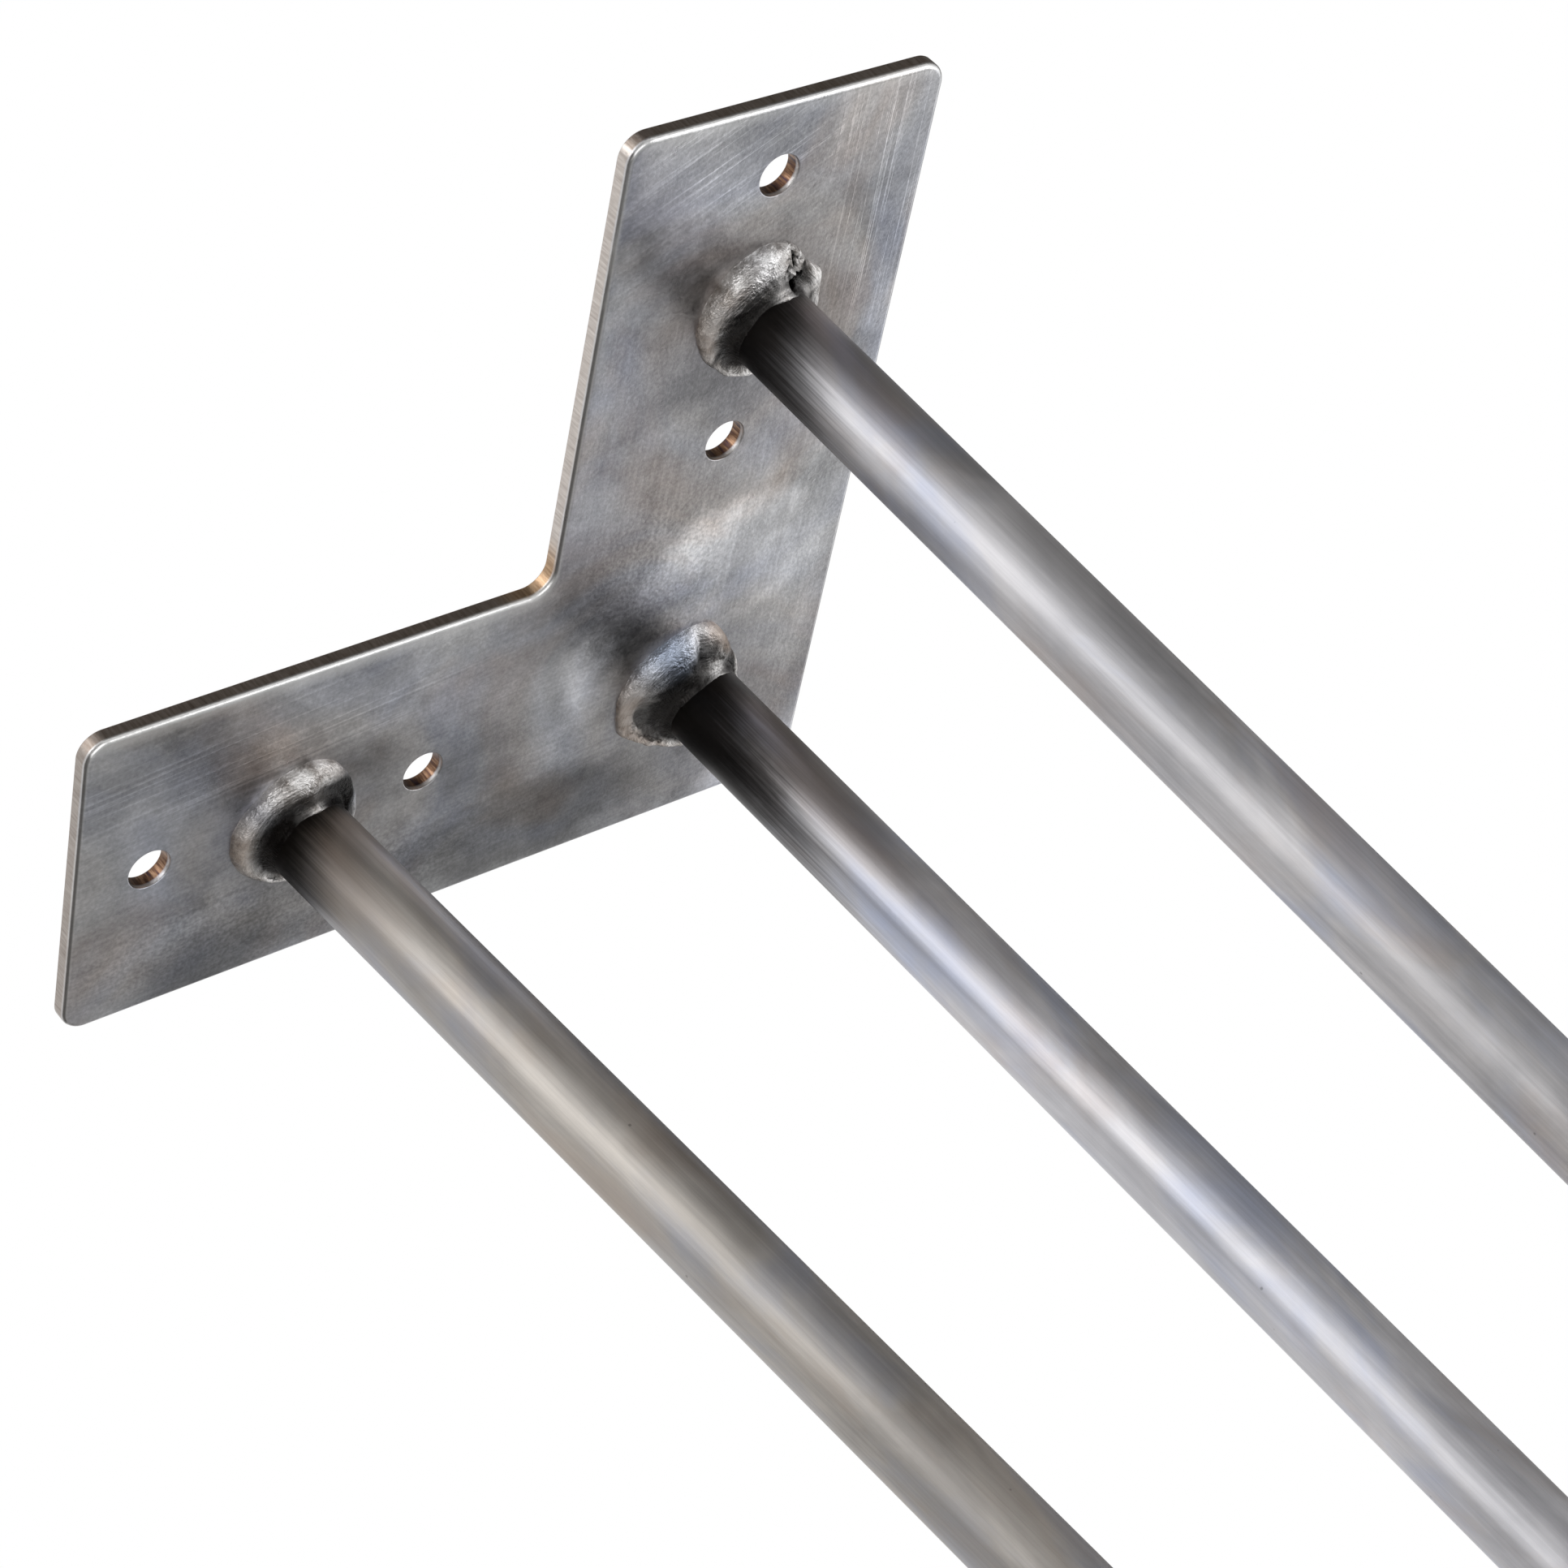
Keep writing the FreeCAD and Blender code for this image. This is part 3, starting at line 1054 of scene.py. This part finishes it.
            # Painted highlight: the straight bar is painted brighter near its top.
            tone = 1.0 + self.painted_highlight_gain * smooth_step(far, near, distance)
            place = (off.dot(side) + shift_side, off.dot(front) + shift_front, distance)
            return place, self.mark(off - along * distance, distance, 2, tone)

        return self.finish_bar(piece, "straight_round_bar", look_at)


@dataclass(frozen=True)
class Swell:
    """A place round a bead where a size grows, or shrinks if the amount is negative.

    Attributes:
        angle: direction round the bar, in degrees from +X towards +Y.
        amount: the growth at the middle.
        spread: half width, in degrees.
    """

    angle: float
    amount: float
    spread: float


@dataclass(frozen=True)
class Lump:
    """A drop of metal on a bead.

    Attributes:
        angle: direction round the bar, in degrees.
        across: 0 at the bar and 1 at the toe on the plate.
        width, height: half width and rise at the middle, in millimetres.
    """

    angle: float
    across: float
    width: float
    height: float


Swells = tuple[Swell, ...]
Pores = list[Triple]


def turn_between(angle: float, other: float) -> float:
    """Returns the turn from one direction to another, from -180 to 180 degrees."""
    return (angle - other + 180.0) % 360.0 - 180.0


def total_at(swells: Swells, angle: float) -> float:
    """Returns the sum of several swells in a direction, in degrees."""
    return sum(
        swell.amount * math.exp(-((turn_between(angle, swell.angle) / swell.spread) ** 2))
        for swell in swells)


def through_points(points: list[tuple[float, float]], share: float) -> tuple[float, float]:
    """Returns a point of the smooth curve through some points.

    Args:
        points: the curve's points, in order.
        share: 0 at the first point and 1 at the last.

    Returns:
        The curve's two coordinates.
    """
    last = len(points) - 1
    index = min(last - 1, int(share * last))
    t = share * last - index
    p0, p1, p2, p3 = (points[min(last, max(0, index + step))] for step in (-1, 0, 1, 2))
    return tuple(
        0.5 * (2 * b + (c - a) * t + (2 * a - 5 * b + 4 * c - d) * t * t
               + (3 * b - a - 3 * c + d) * t ** 3)
        for a, b, c, d in zip(p0, p1, p2, p3))


def ring_of_metal(
    stations: int, section_points: int,
    shape_at: Callable[[float, float], tuple[Vector, Triple, Triple]], name: str,
    finish: Material,
) -> Piece:
    """Wraps a grid into a closed ring, and gives it the coordinates that its finish reads.

    Args:
        stations, section_points: steps round the ring and round its section.
        shape_at: gives the point in millimetres, the bead's own coordinates and its looks for
            a share of the way round the ring and round the section.
        name: the piece's name.
        finish: the piece's material.

    Returns:
        The ring, closed, with its normals outwards.
    """
    start_piece()
    bpy.ops.mesh.primitive_grid_add(
        x_subdivisions=stations, y_subdivisions=section_points, size=2.0, location=(0, 0, 0))
    piece = bpy.context.object
    made = {}
    points, places, looks = [], [], []
    for vertex in piece.data.vertices:
        station = round((vertex.co.x + 1) / 2 * stations) % stations
        step = round((vertex.co.y + 1) / 2 * section_points) % section_points
        if (station, step) not in made:
            made[station, step] = shape_at(station / stations, step / section_points)
        point, place, look = made[station, step]
        points.append(point * MM)
        places.append(place)
        looks.append(look)
    piece.data.vertices.foreach_set("co", [value for point in points for value in point])
    store_points(piece, "bead_place", places)
    store_points(piece, "bead_looks", looks)
    bpy.ops.object.mode_set(mode="EDIT")
    close_and_turn_out(merge=0.0001)
    settle_piece(piece, name, finish)
    return piece


@dataclass(frozen=True)
class PlateBead:
    """One fillet weld between a bar and the plate, as a hand-made ring of metal.

    The bead's section climbs steeply from a toe on the plate to a flat crest and runs up the
    bar in a small hollow curve. Where the bead is hollow, a thin rim stands at the toe and the
    rest lies low.

    Attributes:
        name: the piece's name.
        reach, crest, rise, dip: the plain bead's sizes in millimetres. The dip is the height
            beside the bar as a share of the crest's.
        reach_swells, crest_swells, rise_swells, hollow: how they change round the bar.
        lumps: single drops.
        pores: middle (angle, across) and half sizes of a porous cluster, or nothing.
        pore_count, pore_widths: how many it has, and their least and greatest half widths.
        roughness, ragged: unevenness of the bead's skin and of its toe, in millimetres.
        soot_and_shade, soot_and_shade_swells: how black the bead is beside the bar, partly soot and
            partly painted shade and reflection, and how that changes round it.
        soot_and_shade_edge, soot_and_shade_edge_swells: how far towards the toe the soot and
            painted shade reach, as a share.
        soot_and_shade_blur: half width of their edge, as a share.
        streaks: how far curved streaks of soot and painted shade reach past that edge, as a share.
        glint: where the soot and painted shade leave off just beside the bar, so that the metal's
            own glint shows.
        warm, cool: where the bead is tan and blue.
        seed: start value for the pores and the uneven skin.
    """

    name: str
    reach: float = 2.4
    crest: float = 0.9
    rise: float = 2.0
    dip: float = 0.85
    reach_swells: Swells = ()
    crest_swells: Swells = ()
    rise_swells: Swells = ()
    hollow: Swells = ()
    lumps: tuple[Lump, ...] = ()
    pores: tuple[float, float, float, float] | None = None
    pore_count: int = 26
    pore_widths: tuple[float, float] = (0.22, 0.40)
    roughness: float = 0.05
    ragged: float = 0.03
    soot_and_shade: float = 1.0
    soot_and_shade_swells: Swells = ()
    soot_and_shade_edge: float = 0.8
    soot_and_shade_edge_swells: Swells = ()
    soot_and_shade_blur: float = 0.12
    streaks: float = 0.05
    glint: Swells = ()
    warm: Swells = ()
    cool: Swells = ()
    seed: int = 1
    stations: int = 540
    section_points: int = 72

    def section(self, angle: float, reach: float) -> list[tuple[float, float]]:
        """Draws the bead's section at a place round the bar.

        Args:
            angle: direction round the bar, in degrees.
            reach: how far the toe is from the bar there, in millimetres.

        Returns:
            Its points as (share of the way to the toe, height in millimetres).
        """
        crest = self.crest + total_at(self.crest_swells, angle)
        rise = self.rise + total_at(self.rise_swells, angle)
        dip = crest * self.dip
        climb = rise - dip
        start, end = (1.0 + 0.5 / reach, -0.9), (-0.4 / reach, rise + 0.2)
        full = [
            start, (1.0, -0.1), (0.97, crest * 0.33), (0.92, crest * 0.63), (0.85, crest * 0.86),
            (0.75, crest * 0.98), (0.62, crest), (0.45, crest * 0.95), (0.30, dip),
            (0.16, dip + climb * 0.14), (0.05, dip + climb * 0.5), (0.0, rise), end]
        low = [
            start, (1.0, -0.1), (0.98, 0.42), (0.94, 0.70), (0.86, 0.82), (0.76, 0.74),
            (0.66, 0.42), (0.54, 0.27), (0.36, 0.42), (0.18, 0.80), (0.06, 1.4), (0.0, rise), end]
        share = min(1.0, total_at(self.hollow, angle))
        return [(a + (c - a) * share, b + (d - b) * share) for (a, b), (c, d) in zip(full, low)]

    def pore_list(self) -> Pores:
        """Scatters the pores over their cluster.

        Returns:
            The pores as (angle, share across, half width in millimetres).
        """
        if self.pores is None:
            return []
        chance = random.Random(self.seed)
        angle, across, spread, depth = self.pores
        return [
            (angle + spread * chance.gauss(0, 0.5), across + depth * chance.uniform(-1, 1),
             chance.uniform(*self.pore_widths))
            for _ in range(self.pore_count)]

    def relief(self, angle: float, across: float, arm: float, point: Vector,
               pores: Pores) -> float:
        """Returns how far the bead's skin stands out from its smooth section.

        Args:
            angle: direction round the bar, in degrees.
            across: share of the way from the bar to the toe.
            arm: distance from the bar's axis, in millimetres.
            point: the point on the smooth section, in millimetres.
            pores: the pores, from pore_list.

        Returns:
            The relief in millimetres.
        """
        bow = 9.0 * (across - 0.5) ** 2
        seeded = point + Vector((0, 0, 37.0 * self.seed))
        pace = 15.0 + 1.5 * noise.noise(seeded * 0.15)
        height = 0.012 * math.cos(math.radians(angle + 3 * bow) * pace * 2)
        height += self.roughness * noise.fractal(seeded * 0.45, 0.9, 2.1, 3)
        per_degree = math.radians(1) * arm
        for lump in self.lumps:
            along = turn_between(angle, lump.angle) * per_degree
            over = (across - lump.across) * self.reach
            height += lump.height * math.exp(-(along * along + over * over) / lump.width ** 2)
        for pore_angle, pore_across, width in pores:
            along = turn_between(angle, pore_angle) * per_degree
            over = (across - pore_across) * self.reach * 1.2
            away = math.hypot(along, over) / width
            if away < 3:
                height += 0.2 * math.exp(-((away - 1.5) / 0.5) ** 2) - 0.9 * math.exp(-away ** 2)
        return height

    def looks(self, angle: float, across: float, base: Vector, lift: float) -> Triple:
        """Returns how much soot and painted shade, warmth and coolness the metal has at a place.

        Args:
            angle: direction round the bar, in degrees.
            across: share of the way from the bar to the toe.
            base: the point on the smooth section, in millimetres.
            lift: how far the skin stands out there, in millimetres.

        Returns:
            Three shares.
        """
        edge = self.soot_and_shade_edge + total_at(self.soot_and_shade_edge_swells, angle)
        edge += 0.05 * noise.noise(base * 0.35)
        edge += self.streaks * noise.noise(Vector((angle / 9 + 3 * across, self.seed, 0)))
        soot_and_shade = self.soot_and_shade + total_at(self.soot_and_shade_swells, angle)
        soot_and_shade *= smooth_step(edge + self.soot_and_shade_blur, edge - self.soot_and_shade_blur, across)
        soot_and_shade *= 1.0 - total_at(self.glint, angle) * smooth_step(0.14, 0.04, across)
        # Painted shade where the skin sinks, mostly in the pores.
        soot_and_shade += smooth_step(-0.12, -0.4, lift)
        # Soot and painted shade fill the hollow, inside its thin rim at the toe.
        hollow = min(1.0, total_at(self.hollow, angle))
        rim = 0.66 + 0.12 * noise.noise(base * 0.8)
        soot_and_shade = max(soot_and_shade, 0.82 * hollow * smooth_step(rim + 0.05, rim - 0.05, across))
        warm = min(1.0, total_at(self.warm, angle)) * smooth_step(0.45, 0.8, across)
        cool = min(1.0, total_at(self.cool, angle)) * smooth_step(0.1, 0.4, across)
        return min(1.0, max(0.0, soot_and_shade)), warm, cool

    def build(self, sizes: LegSizes, seat: Vector, lower: Vector, finish: Material) -> Piece:
        """Lays the bead round a bar.

        Args:
            sizes: the leg's sizes.
            seat: where the bar's axis meets the plate, in millimetres.
            lower: another point of the bar's axis, lower down.
            finish: the bead's material.

        Returns:
            The bead.
        """
        down = (lower - seat).normalized()
        radius = sizes.rod_radius
        pores = self.pore_list()
        skin_share = 0.94

        def shape_at(round_share: float, share: float) -> tuple[Vector, Triple, Triple]:
            """Works out one place on the bead.

            Args:
                round_share: share of the way round the bar.
                share: share of the way round the section.

            Returns:
                The point, the bead's own coordinates and the looks.
            """
            angle = 360.0 * round_share
            radians = math.radians(angle)
            outward = Vector((math.cos(radians), math.sin(radians), 0))
            off_rod = (outward - down * outward.dot(down)).normalized()
            reach = self.reach + total_at(self.reach_swells, angle)
            reach += 0.22 * noise.noise(outward * 4.0 + Vector((0, 0, 5.0 * self.seed)))
            reach += self.ragged * noise.noise(outward * 12.0 + Vector((0, 0, 7.0 * self.seed)))
            toe = seat + outward * (radius + reach)
            over_plate = toe - seat - off_rod * radius
            section = self.section(angle, reach)
            if share > skin_share:
                inner = seat + off_rod * (radius - 0.9)
                roots = [inner + down * 1.2, inner - down * 0.6,
                         seat + outward * (radius + reach * 0.4) - down * 1.0, toe - down * 1.0]
                place = roots[min(3, int((share - skin_share) / (1 - skin_share) * 4))]
                return place, (10 * outward.x, 10 * outward.y, 0.0), (1.0, 0.0, 0.0)
            share /= skin_share
            across, height = through_points(section, share)
            ahead = through_points(section, min(1.0, share + 0.01))
            behind = through_points(section, max(0.0, share - 0.01))
            slope = Vector(((ahead[0] - behind[0]) * reach, ahead[1] - behind[1])).normalized()
            base = seat + off_rod * radius + over_plate * across + down * height
            fade = smooth_step(0.0, 0.12, share) * smooth_step(1.0, 0.9, share)
            lift = fade * self.relief(angle, across, radius + reach * across, base, pores)
            point = base + (off_rod * slope.y - down * slope.x) * lift
            turned = radians + 1.2 * (across - 0.5) ** 2
            place = (10 * math.cos(turned), 10 * math.sin(turned), across * reach)
            return point, place, self.looks(angle, across, base, lift)

        return ring_of_metal(self.stations, self.section_points, shape_at, self.name, finish)


@dataclass(frozen=True)
class FootBead:
    """The fillet that joins the straight bar's end to the bend, as a ring of metal.

    Attributes:
        radius: the bead's own radius, in millimetres.
        root: how far its middle lies inside the straight bar.
        cut_height: height of the straight bar's end over the bend's axis.
    """

    radius: float = 3.2
    root: float = 0.6
    cut_height: float = 2.0
    stations: int = 300
    section_points: int = 40

    def build(self, sizes: LegSizes, finish: Material) -> Piece:
        """Lays the bead along the saddle where the bars meet.

        Args:
            sizes: the leg's sizes.
            finish: the bead's material.

        Returns:
            The bead.
        """
        axis = (sizes.corner_seat - sizes.foot).normalized()
        sideways = sizes.bend_side
        forward = axis.cross(sideways)

        def shape_at(round_share: float, share: float) -> tuple[Vector, Triple, Triple]:
            """Works out one place on the bead.

            Args:
                round_share: share of the way round the bar.
                share: share of the way round the section.

            Returns:
                The point, the bead's own coordinates and the looks.
            """
            turn, round_turn = 2 * math.pi * round_share, 2 * math.pi * share
            outward = sideways * math.cos(turn) + forward * math.sin(turn)
            saddle = sizes.rod_radius * math.cos(turn) ** 2 + self.cut_height * math.sin(turn) ** 2
            centre = sizes.foot + outward * (sizes.rod_radius - self.root) + axis * saddle
            facing = outward * math.cos(round_turn) + axis * math.sin(round_turn)
            base = centre + facing * self.radius
            ripple = 0.05 * math.cos(26 * turn + 0.8 * math.cos(round_turn)) - 0.1
            ripple += 0.1 * noise.fractal(base * 0.5, 0.9, 2.1, 3)
            place = (10 * math.cos(turn), 10 * math.sin(turn), 1 + math.sin(round_turn))
            # The looks: soot and painted shade, greater where the section faces along the straight
            # bar, then warmth and coolness.
            return base + facing * ripple, place, (0.25 + 0.3 * abs(facing.dot(axis)), 0.3, 0.1)

        return ring_of_metal(
            self.stations, self.section_points, shape_at, "weld_bead_at_foot", finish)


@dataclass
class HairpinLeg:
    """The whole leg: the plate, two bars and four weld beads."""

    sizes: LegSizes = field(default_factory=LegSizes)
    x_arm_bead: PlateBead = PlateBead(
        name="weld_bead_on_x_arm", seed=3,
        reach_swells=(Swell(20, 2.9, 50), Swell(95, 3.2, 40)),
        crest_swells=(Swell(78, 1.2, 34), Swell(15, 0.6, 40), Swell(150, -0.4, 35)),
        rise_swells=(Swell(95, 0.7, 45), Swell(20, 0.6, 40)),
        hollow=(Swell(-58, 0.8, 14),),
        lumps=(Lump(86, 0.04, 1.1, 0.3),),
        roughness=0.03,
        soot_and_shade_swells=(Swell(80, -0.15, 22),), soot_and_shade_edge=0.52, soot_and_shade_blur=0.30,
        soot_and_shade_edge_swells=(Swell(82, -0.10, 26), Swell(140, 0.7, 22)),
        glint=(Swell(86, 0.95, 10),),
        warm=(Swell(6, 0.55, 34), Swell(112, 0.2, 16)),
        cool=(Swell(40, 0.35, 14), Swell(150, 0.5, 25)))
    y_arm_bead: PlateBead = PlateBead(
        name="weld_bead_on_y_arm", seed=5,
        reach_swells=(Swell(35, 3.7, 60), Swell(85, 2.2, 30), Swell(140, 0.9, 18)),
        crest_swells=(
            Swell(50, 1.6, 36), Swell(88, 0.2, 18), Swell(138, 0.25, 16), Swell(118, -0.4, 8)),
        rise_swells=(Swell(90, 0.8, 32), Swell(20, 0.6, 40)),
        hollow=(Swell(-50, 0.8, 18),),
        lumps=(Lump(84, 0.04, 1.1, 0.3), Lump(103, 0.95, 1.0, 0.3), Lump(138, 0.70, 1.6, 0.25)),
        pores=(104, 0.60, 11, 0.42), ragged=0.08,
        soot_and_shade=0.95, soot_and_shade_swells=(Swell(84, -0.2, 12), Swell(143, -0.5, 14)),
        soot_and_shade_edge=0.46, soot_and_shade_blur=0.26, streaks=0.22,
        soot_and_shade_edge_swells=(Swell(78, -0.10, 18), Swell(120, 0.5, 10), Swell(-32, 0.32, 22)),
        glint=(Swell(86, 0.95, 10),),
        warm=(Swell(0, 0.5, 26), Swell(40, 0.12, 10)),
        cool=(Swell(70, 0.15, 16),))
    corner_bead: PlateBead = PlateBead(
        name="weld_bead_at_corner", seed=8,
        reach_swells=(
            Swell(35, 7.2, 50), Swell(82, 2.8, 22), Swell(-8, 1.3, 22), Swell(165, -1.4, 32),
            Swell(100, 0.8, 14)),
        crest_swells=(
            Swell(52, 1.5, 28), Swell(15, 0.3, 20), Swell(98, 0.8, 16), Swell(77, -0.6, 4),
            Swell(165, -0.5, 30)),
        rise_swells=(Swell(60, 1.2, 50),),
        hollow=(Swell(-15, 2.0, 30),),
        lumps=(Lump(-34, 0.93, 0.6, 0.25), Lump(-8, 0.95, 0.7, 0.25), Lump(92, 0.8, 0.9, 0.3),
               Lump(106, 0.5, 0.9, 0.25)),
        roughness=0.07, ragged=0.16,
        soot_and_shade=0.95, soot_and_shade_swells=(Swell(98, -0.50, 16),), soot_and_shade_edge=0.5, soot_and_shade_blur=0.2,
        streaks=0.12, soot_and_shade_edge_swells=(Swell(112, 0.7, 22), Swell(58, -0.08, 18)),
        warm=(Swell(-20, 0.55, 40), Swell(100, 0.75, 20), Swell(18, 0.3, 14)),
        cool=(Swell(56, 1.0, 20),))
    foot_bead: FootBead = FootBead()

    def build(self) -> None:
        """Builds every piece, ties it to the frame and reports it."""
        sizes = self.sizes
        sheet, bar = GroundSheetSteel().material(sizes), DrawnBarSteel().material()
        weld = WeldMetal().material()
        bars = RoundBars(sizes, bar)
        self.tie(MountingPlate(sizes, sheet).build(), "mounting_plate")
        self.tie(bars.build_bent(), "hairpin_rod")
        self.tie(bars.build_straight(), "corner_rod")
        for bead, seat, lower, node_name in (
                (self.x_arm_bead, sizes.arm_seat(Arm.X), sizes.tangent_point(Arm.X), "weld_x_arm"),
                (self.y_arm_bead, sizes.arm_seat(Arm.Y), sizes.tangent_point(Arm.Y), "weld_y_arm"),
                (self.corner_bead, sizes.corner_seat, sizes.foot, "weld_corner")):
            self.tie(bead.build(sizes, seat, lower, weld), node_name)
        self.tie(self.foot_bead.build(sizes, weld), "weld_foot")

    def tie(self, piece: Piece, node_name: str) -> None:
        """Lets a piece stand for a frame node, and reports it.

        Args:
            piece: the finished piece.
            node_name: the node that it replaces.
        """
        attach(piece, "root")
        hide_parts(node_name)
        LOG.info("%s stands for %s, %d faces", piece.name, node_name, len(piece.data.polygons))


@dataclass(frozen=True)
class Screen:
    """An upright curved screen round the leg, which the metal mirrors and the camera skips.

    Attributes:
        name: the screen's name.
        radius, low, high: its distance and heights, in metres.
        start, end: the directions that it spans, in degrees from +X towards +Y.
        colour: its paint.
    """

    name: str
    radius: float
    low: float
    high: float
    start: float
    end: float
    colour: str

    def build(self) -> None:
        """Cuts the screen from an open tube."""
        start_piece()
        bpy.ops.mesh.primitive_cylinder_add(
            vertices=180, radius=self.radius, depth=self.high - self.low, end_fill_type="NOTHING",
            location=(0, 0, (self.high + self.low) / 2))
        screen = bpy.context.object
        bpy.ops.object.transform_apply(location=True, rotation=True, scale=True)
        bpy.ops.object.mode_set(mode="EDIT")
        span = (self.end - self.start) % 360.0
        pick(Pick.VERTICES, lambda point: (
            math.degrees(math.atan2(point.y, point.x)) - self.start) % 360.0 > span)
        bpy.ops.mesh.delete(type="VERT")
        bpy.ops.object.mode_set(mode="OBJECT")
        screen.name = self.name
        screen.data.materials.append(matt_paint(self.name + "_paint", self.colour))
        screen.visible_camera = False


@dataclass(frozen=True)
class SoftPanel:
    """A rectangular soft light that faces the plate.

    Attributes:
        name: the light's name.
        direction, elevation: where it stands as seen from the plate, in degrees.
        distance, width, height: in metres.
        glow: its brightness as the metal mirrors it, where the white surround is 1.
    """

    name: str
    direction: float
    elevation: float
    distance: float
    width: float
    height: float
    glow: float

    def hang(self) -> None:
        """Hangs the light. A low one only shows in the metal, so that the floor is lit evenly."""
        light = bpy.data.lights.new(self.name, "AREA")
        light.shape = "RECTANGLE"
        light.size, light.size_y = self.width, self.height
        light.energy = 4 * self.width * self.height * self.glow
        panel = bpy.data.objects.new(self.name, light)
        bpy.context.scene.collection.objects.link(panel)
        turn, lift = math.radians(self.direction), math.radians(self.elevation)
        facing = Vector((
            math.cos(turn) * math.cos(lift), math.sin(turn) * math.cos(lift), math.sin(lift)))
        panel.matrix_world = (
            Matrix.Translation(facing * self.distance)
            @ facing.to_track_quat("Z", "Y").to_matrix().to_4x4())
        panel.visible_camera = False
        panel.visible_diffuse = self.elevation > 0


@dataclass(frozen=True)
class Studio:
    """The camera, a white surround, a pale floor, the soft lights and the screens.

    Attributes:
        camera_place, aim: in millimetres.
        camera_roll: turn about the line of sight, in degrees.
        lens: focal length for a 36 mm wide frame.
        fill: the white surround's strength as a lamp. The camera, the metal and glass see 1.
        panels: the soft lights.
        floor_radius: in metres.
        screens: the upright screens.
    """

    camera_place: Triple = (311.584, 373.364, -327.5)
    aim: Triple = (-25.78, -29.68, -2.5)
    camera_roll: float = -44.68
    lens: float = 97.10
    fill: float = 0.6
    panels: tuple[SoftPanel, ...] = (
        SoftPanel("soft_box", 33.0, 30.0, 2.0, 1.2, 1.5, 1.55),
        SoftPanel("low_panel", 200.0, -24.0, 1.2, 1.1, 0.48, 1.0),
        SoftPanel("floor_card", 150.0, -36.5, 0.90, 0.9, 0.42, 1.7),
        SoftPanel("front_card", 50.0, -48.5, 0.78, 0.8, 0.37, 1.1),
    )
    floor_radius: float = 4.0
    screens: tuple[Screen, ...] = (
        Screen("dark_screen", 1.6, 0.10, 2.2, 86.0, 226.0, "#93918E"),
        Screen("low_grey_screen", 1.7, -0.70, 0.15, -110.0, 84.0, "#D8D6D4"),
    )

    def build(self, floor_height: float) -> None:
        """Builds the studio.

        Args:
            floor_height: height of the floor, in metres.
        """
        self.place_camera()
        self.light_surround()
        for panel in self.panels:
            panel.hang()
        start_piece()
        bpy.ops.mesh.primitive_circle_add(
            vertices=128, radius=self.floor_radius, fill_type="NGON", location=(0, 0, floor_height))
        floor = bpy.context.object
        floor.name = "studio_floor"
        floor.data.materials.append(matt_paint("floor_paint", "#E9E9E8"))
        for screen in self.screens:
            screen.build()

    def place_camera(self) -> None:
        """Puts the camera at the photograph's viewing angle."""
        lens = bpy.data.cameras.new("camera")
        lens.lens = self.lens
        lens.clip_start, lens.clip_end = 0.01, 50.0
        camera = bpy.data.objects.new("camera", lens)
        bpy.context.scene.collection.objects.link(camera)
        place, aim = Vector(self.camera_place) * MM, Vector(self.aim) * MM
        look = (aim - place).to_track_quat("-Z", "Y")
        turn = Matrix.Rotation(math.radians(self.camera_roll), 4, "Z")
        camera.matrix_world = Matrix.Translation(place) @ look.to_matrix().to_4x4() @ turn
        bpy.context.scene.camera = camera

    def light_surround(self) -> None:
        """Makes the world white, and a softer lamp than it looks."""
        world = bpy.data.worlds.new("white_surround")
        bpy.context.scene.world = world
        world.use_nodes = True
        tree = world.node_tree
        seen: Socket | float = 0.0
        for ray in ("Is Camera Ray", "Is Glossy Ray", "Is Transmission Ray"):
            seen = add_node(tree, "Math MAXIMUM", seen, add_node(tree, "LightPath", output=ray))
        strength = add_node(tree, "MapRange", seen, 0, 1, self.fill, 1)
        set_inputs(tree, tree.nodes["Background"], {"Color": "#FFFFFF", "Strength": strength})


def main() -> None:
    """Builds the studio and the leg."""
    logging.basicConfig(level=logging.INFO, format="%(name)s: %(message)s")
    bpy.context.scene.view_settings.view_transform = "Standard"
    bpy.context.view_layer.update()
    sizes = LegSizes()
    Studio().build(-sizes.leg_height * MM)
    HairpinLeg(sizes).build()


if __name__ == "__main__":
    main()
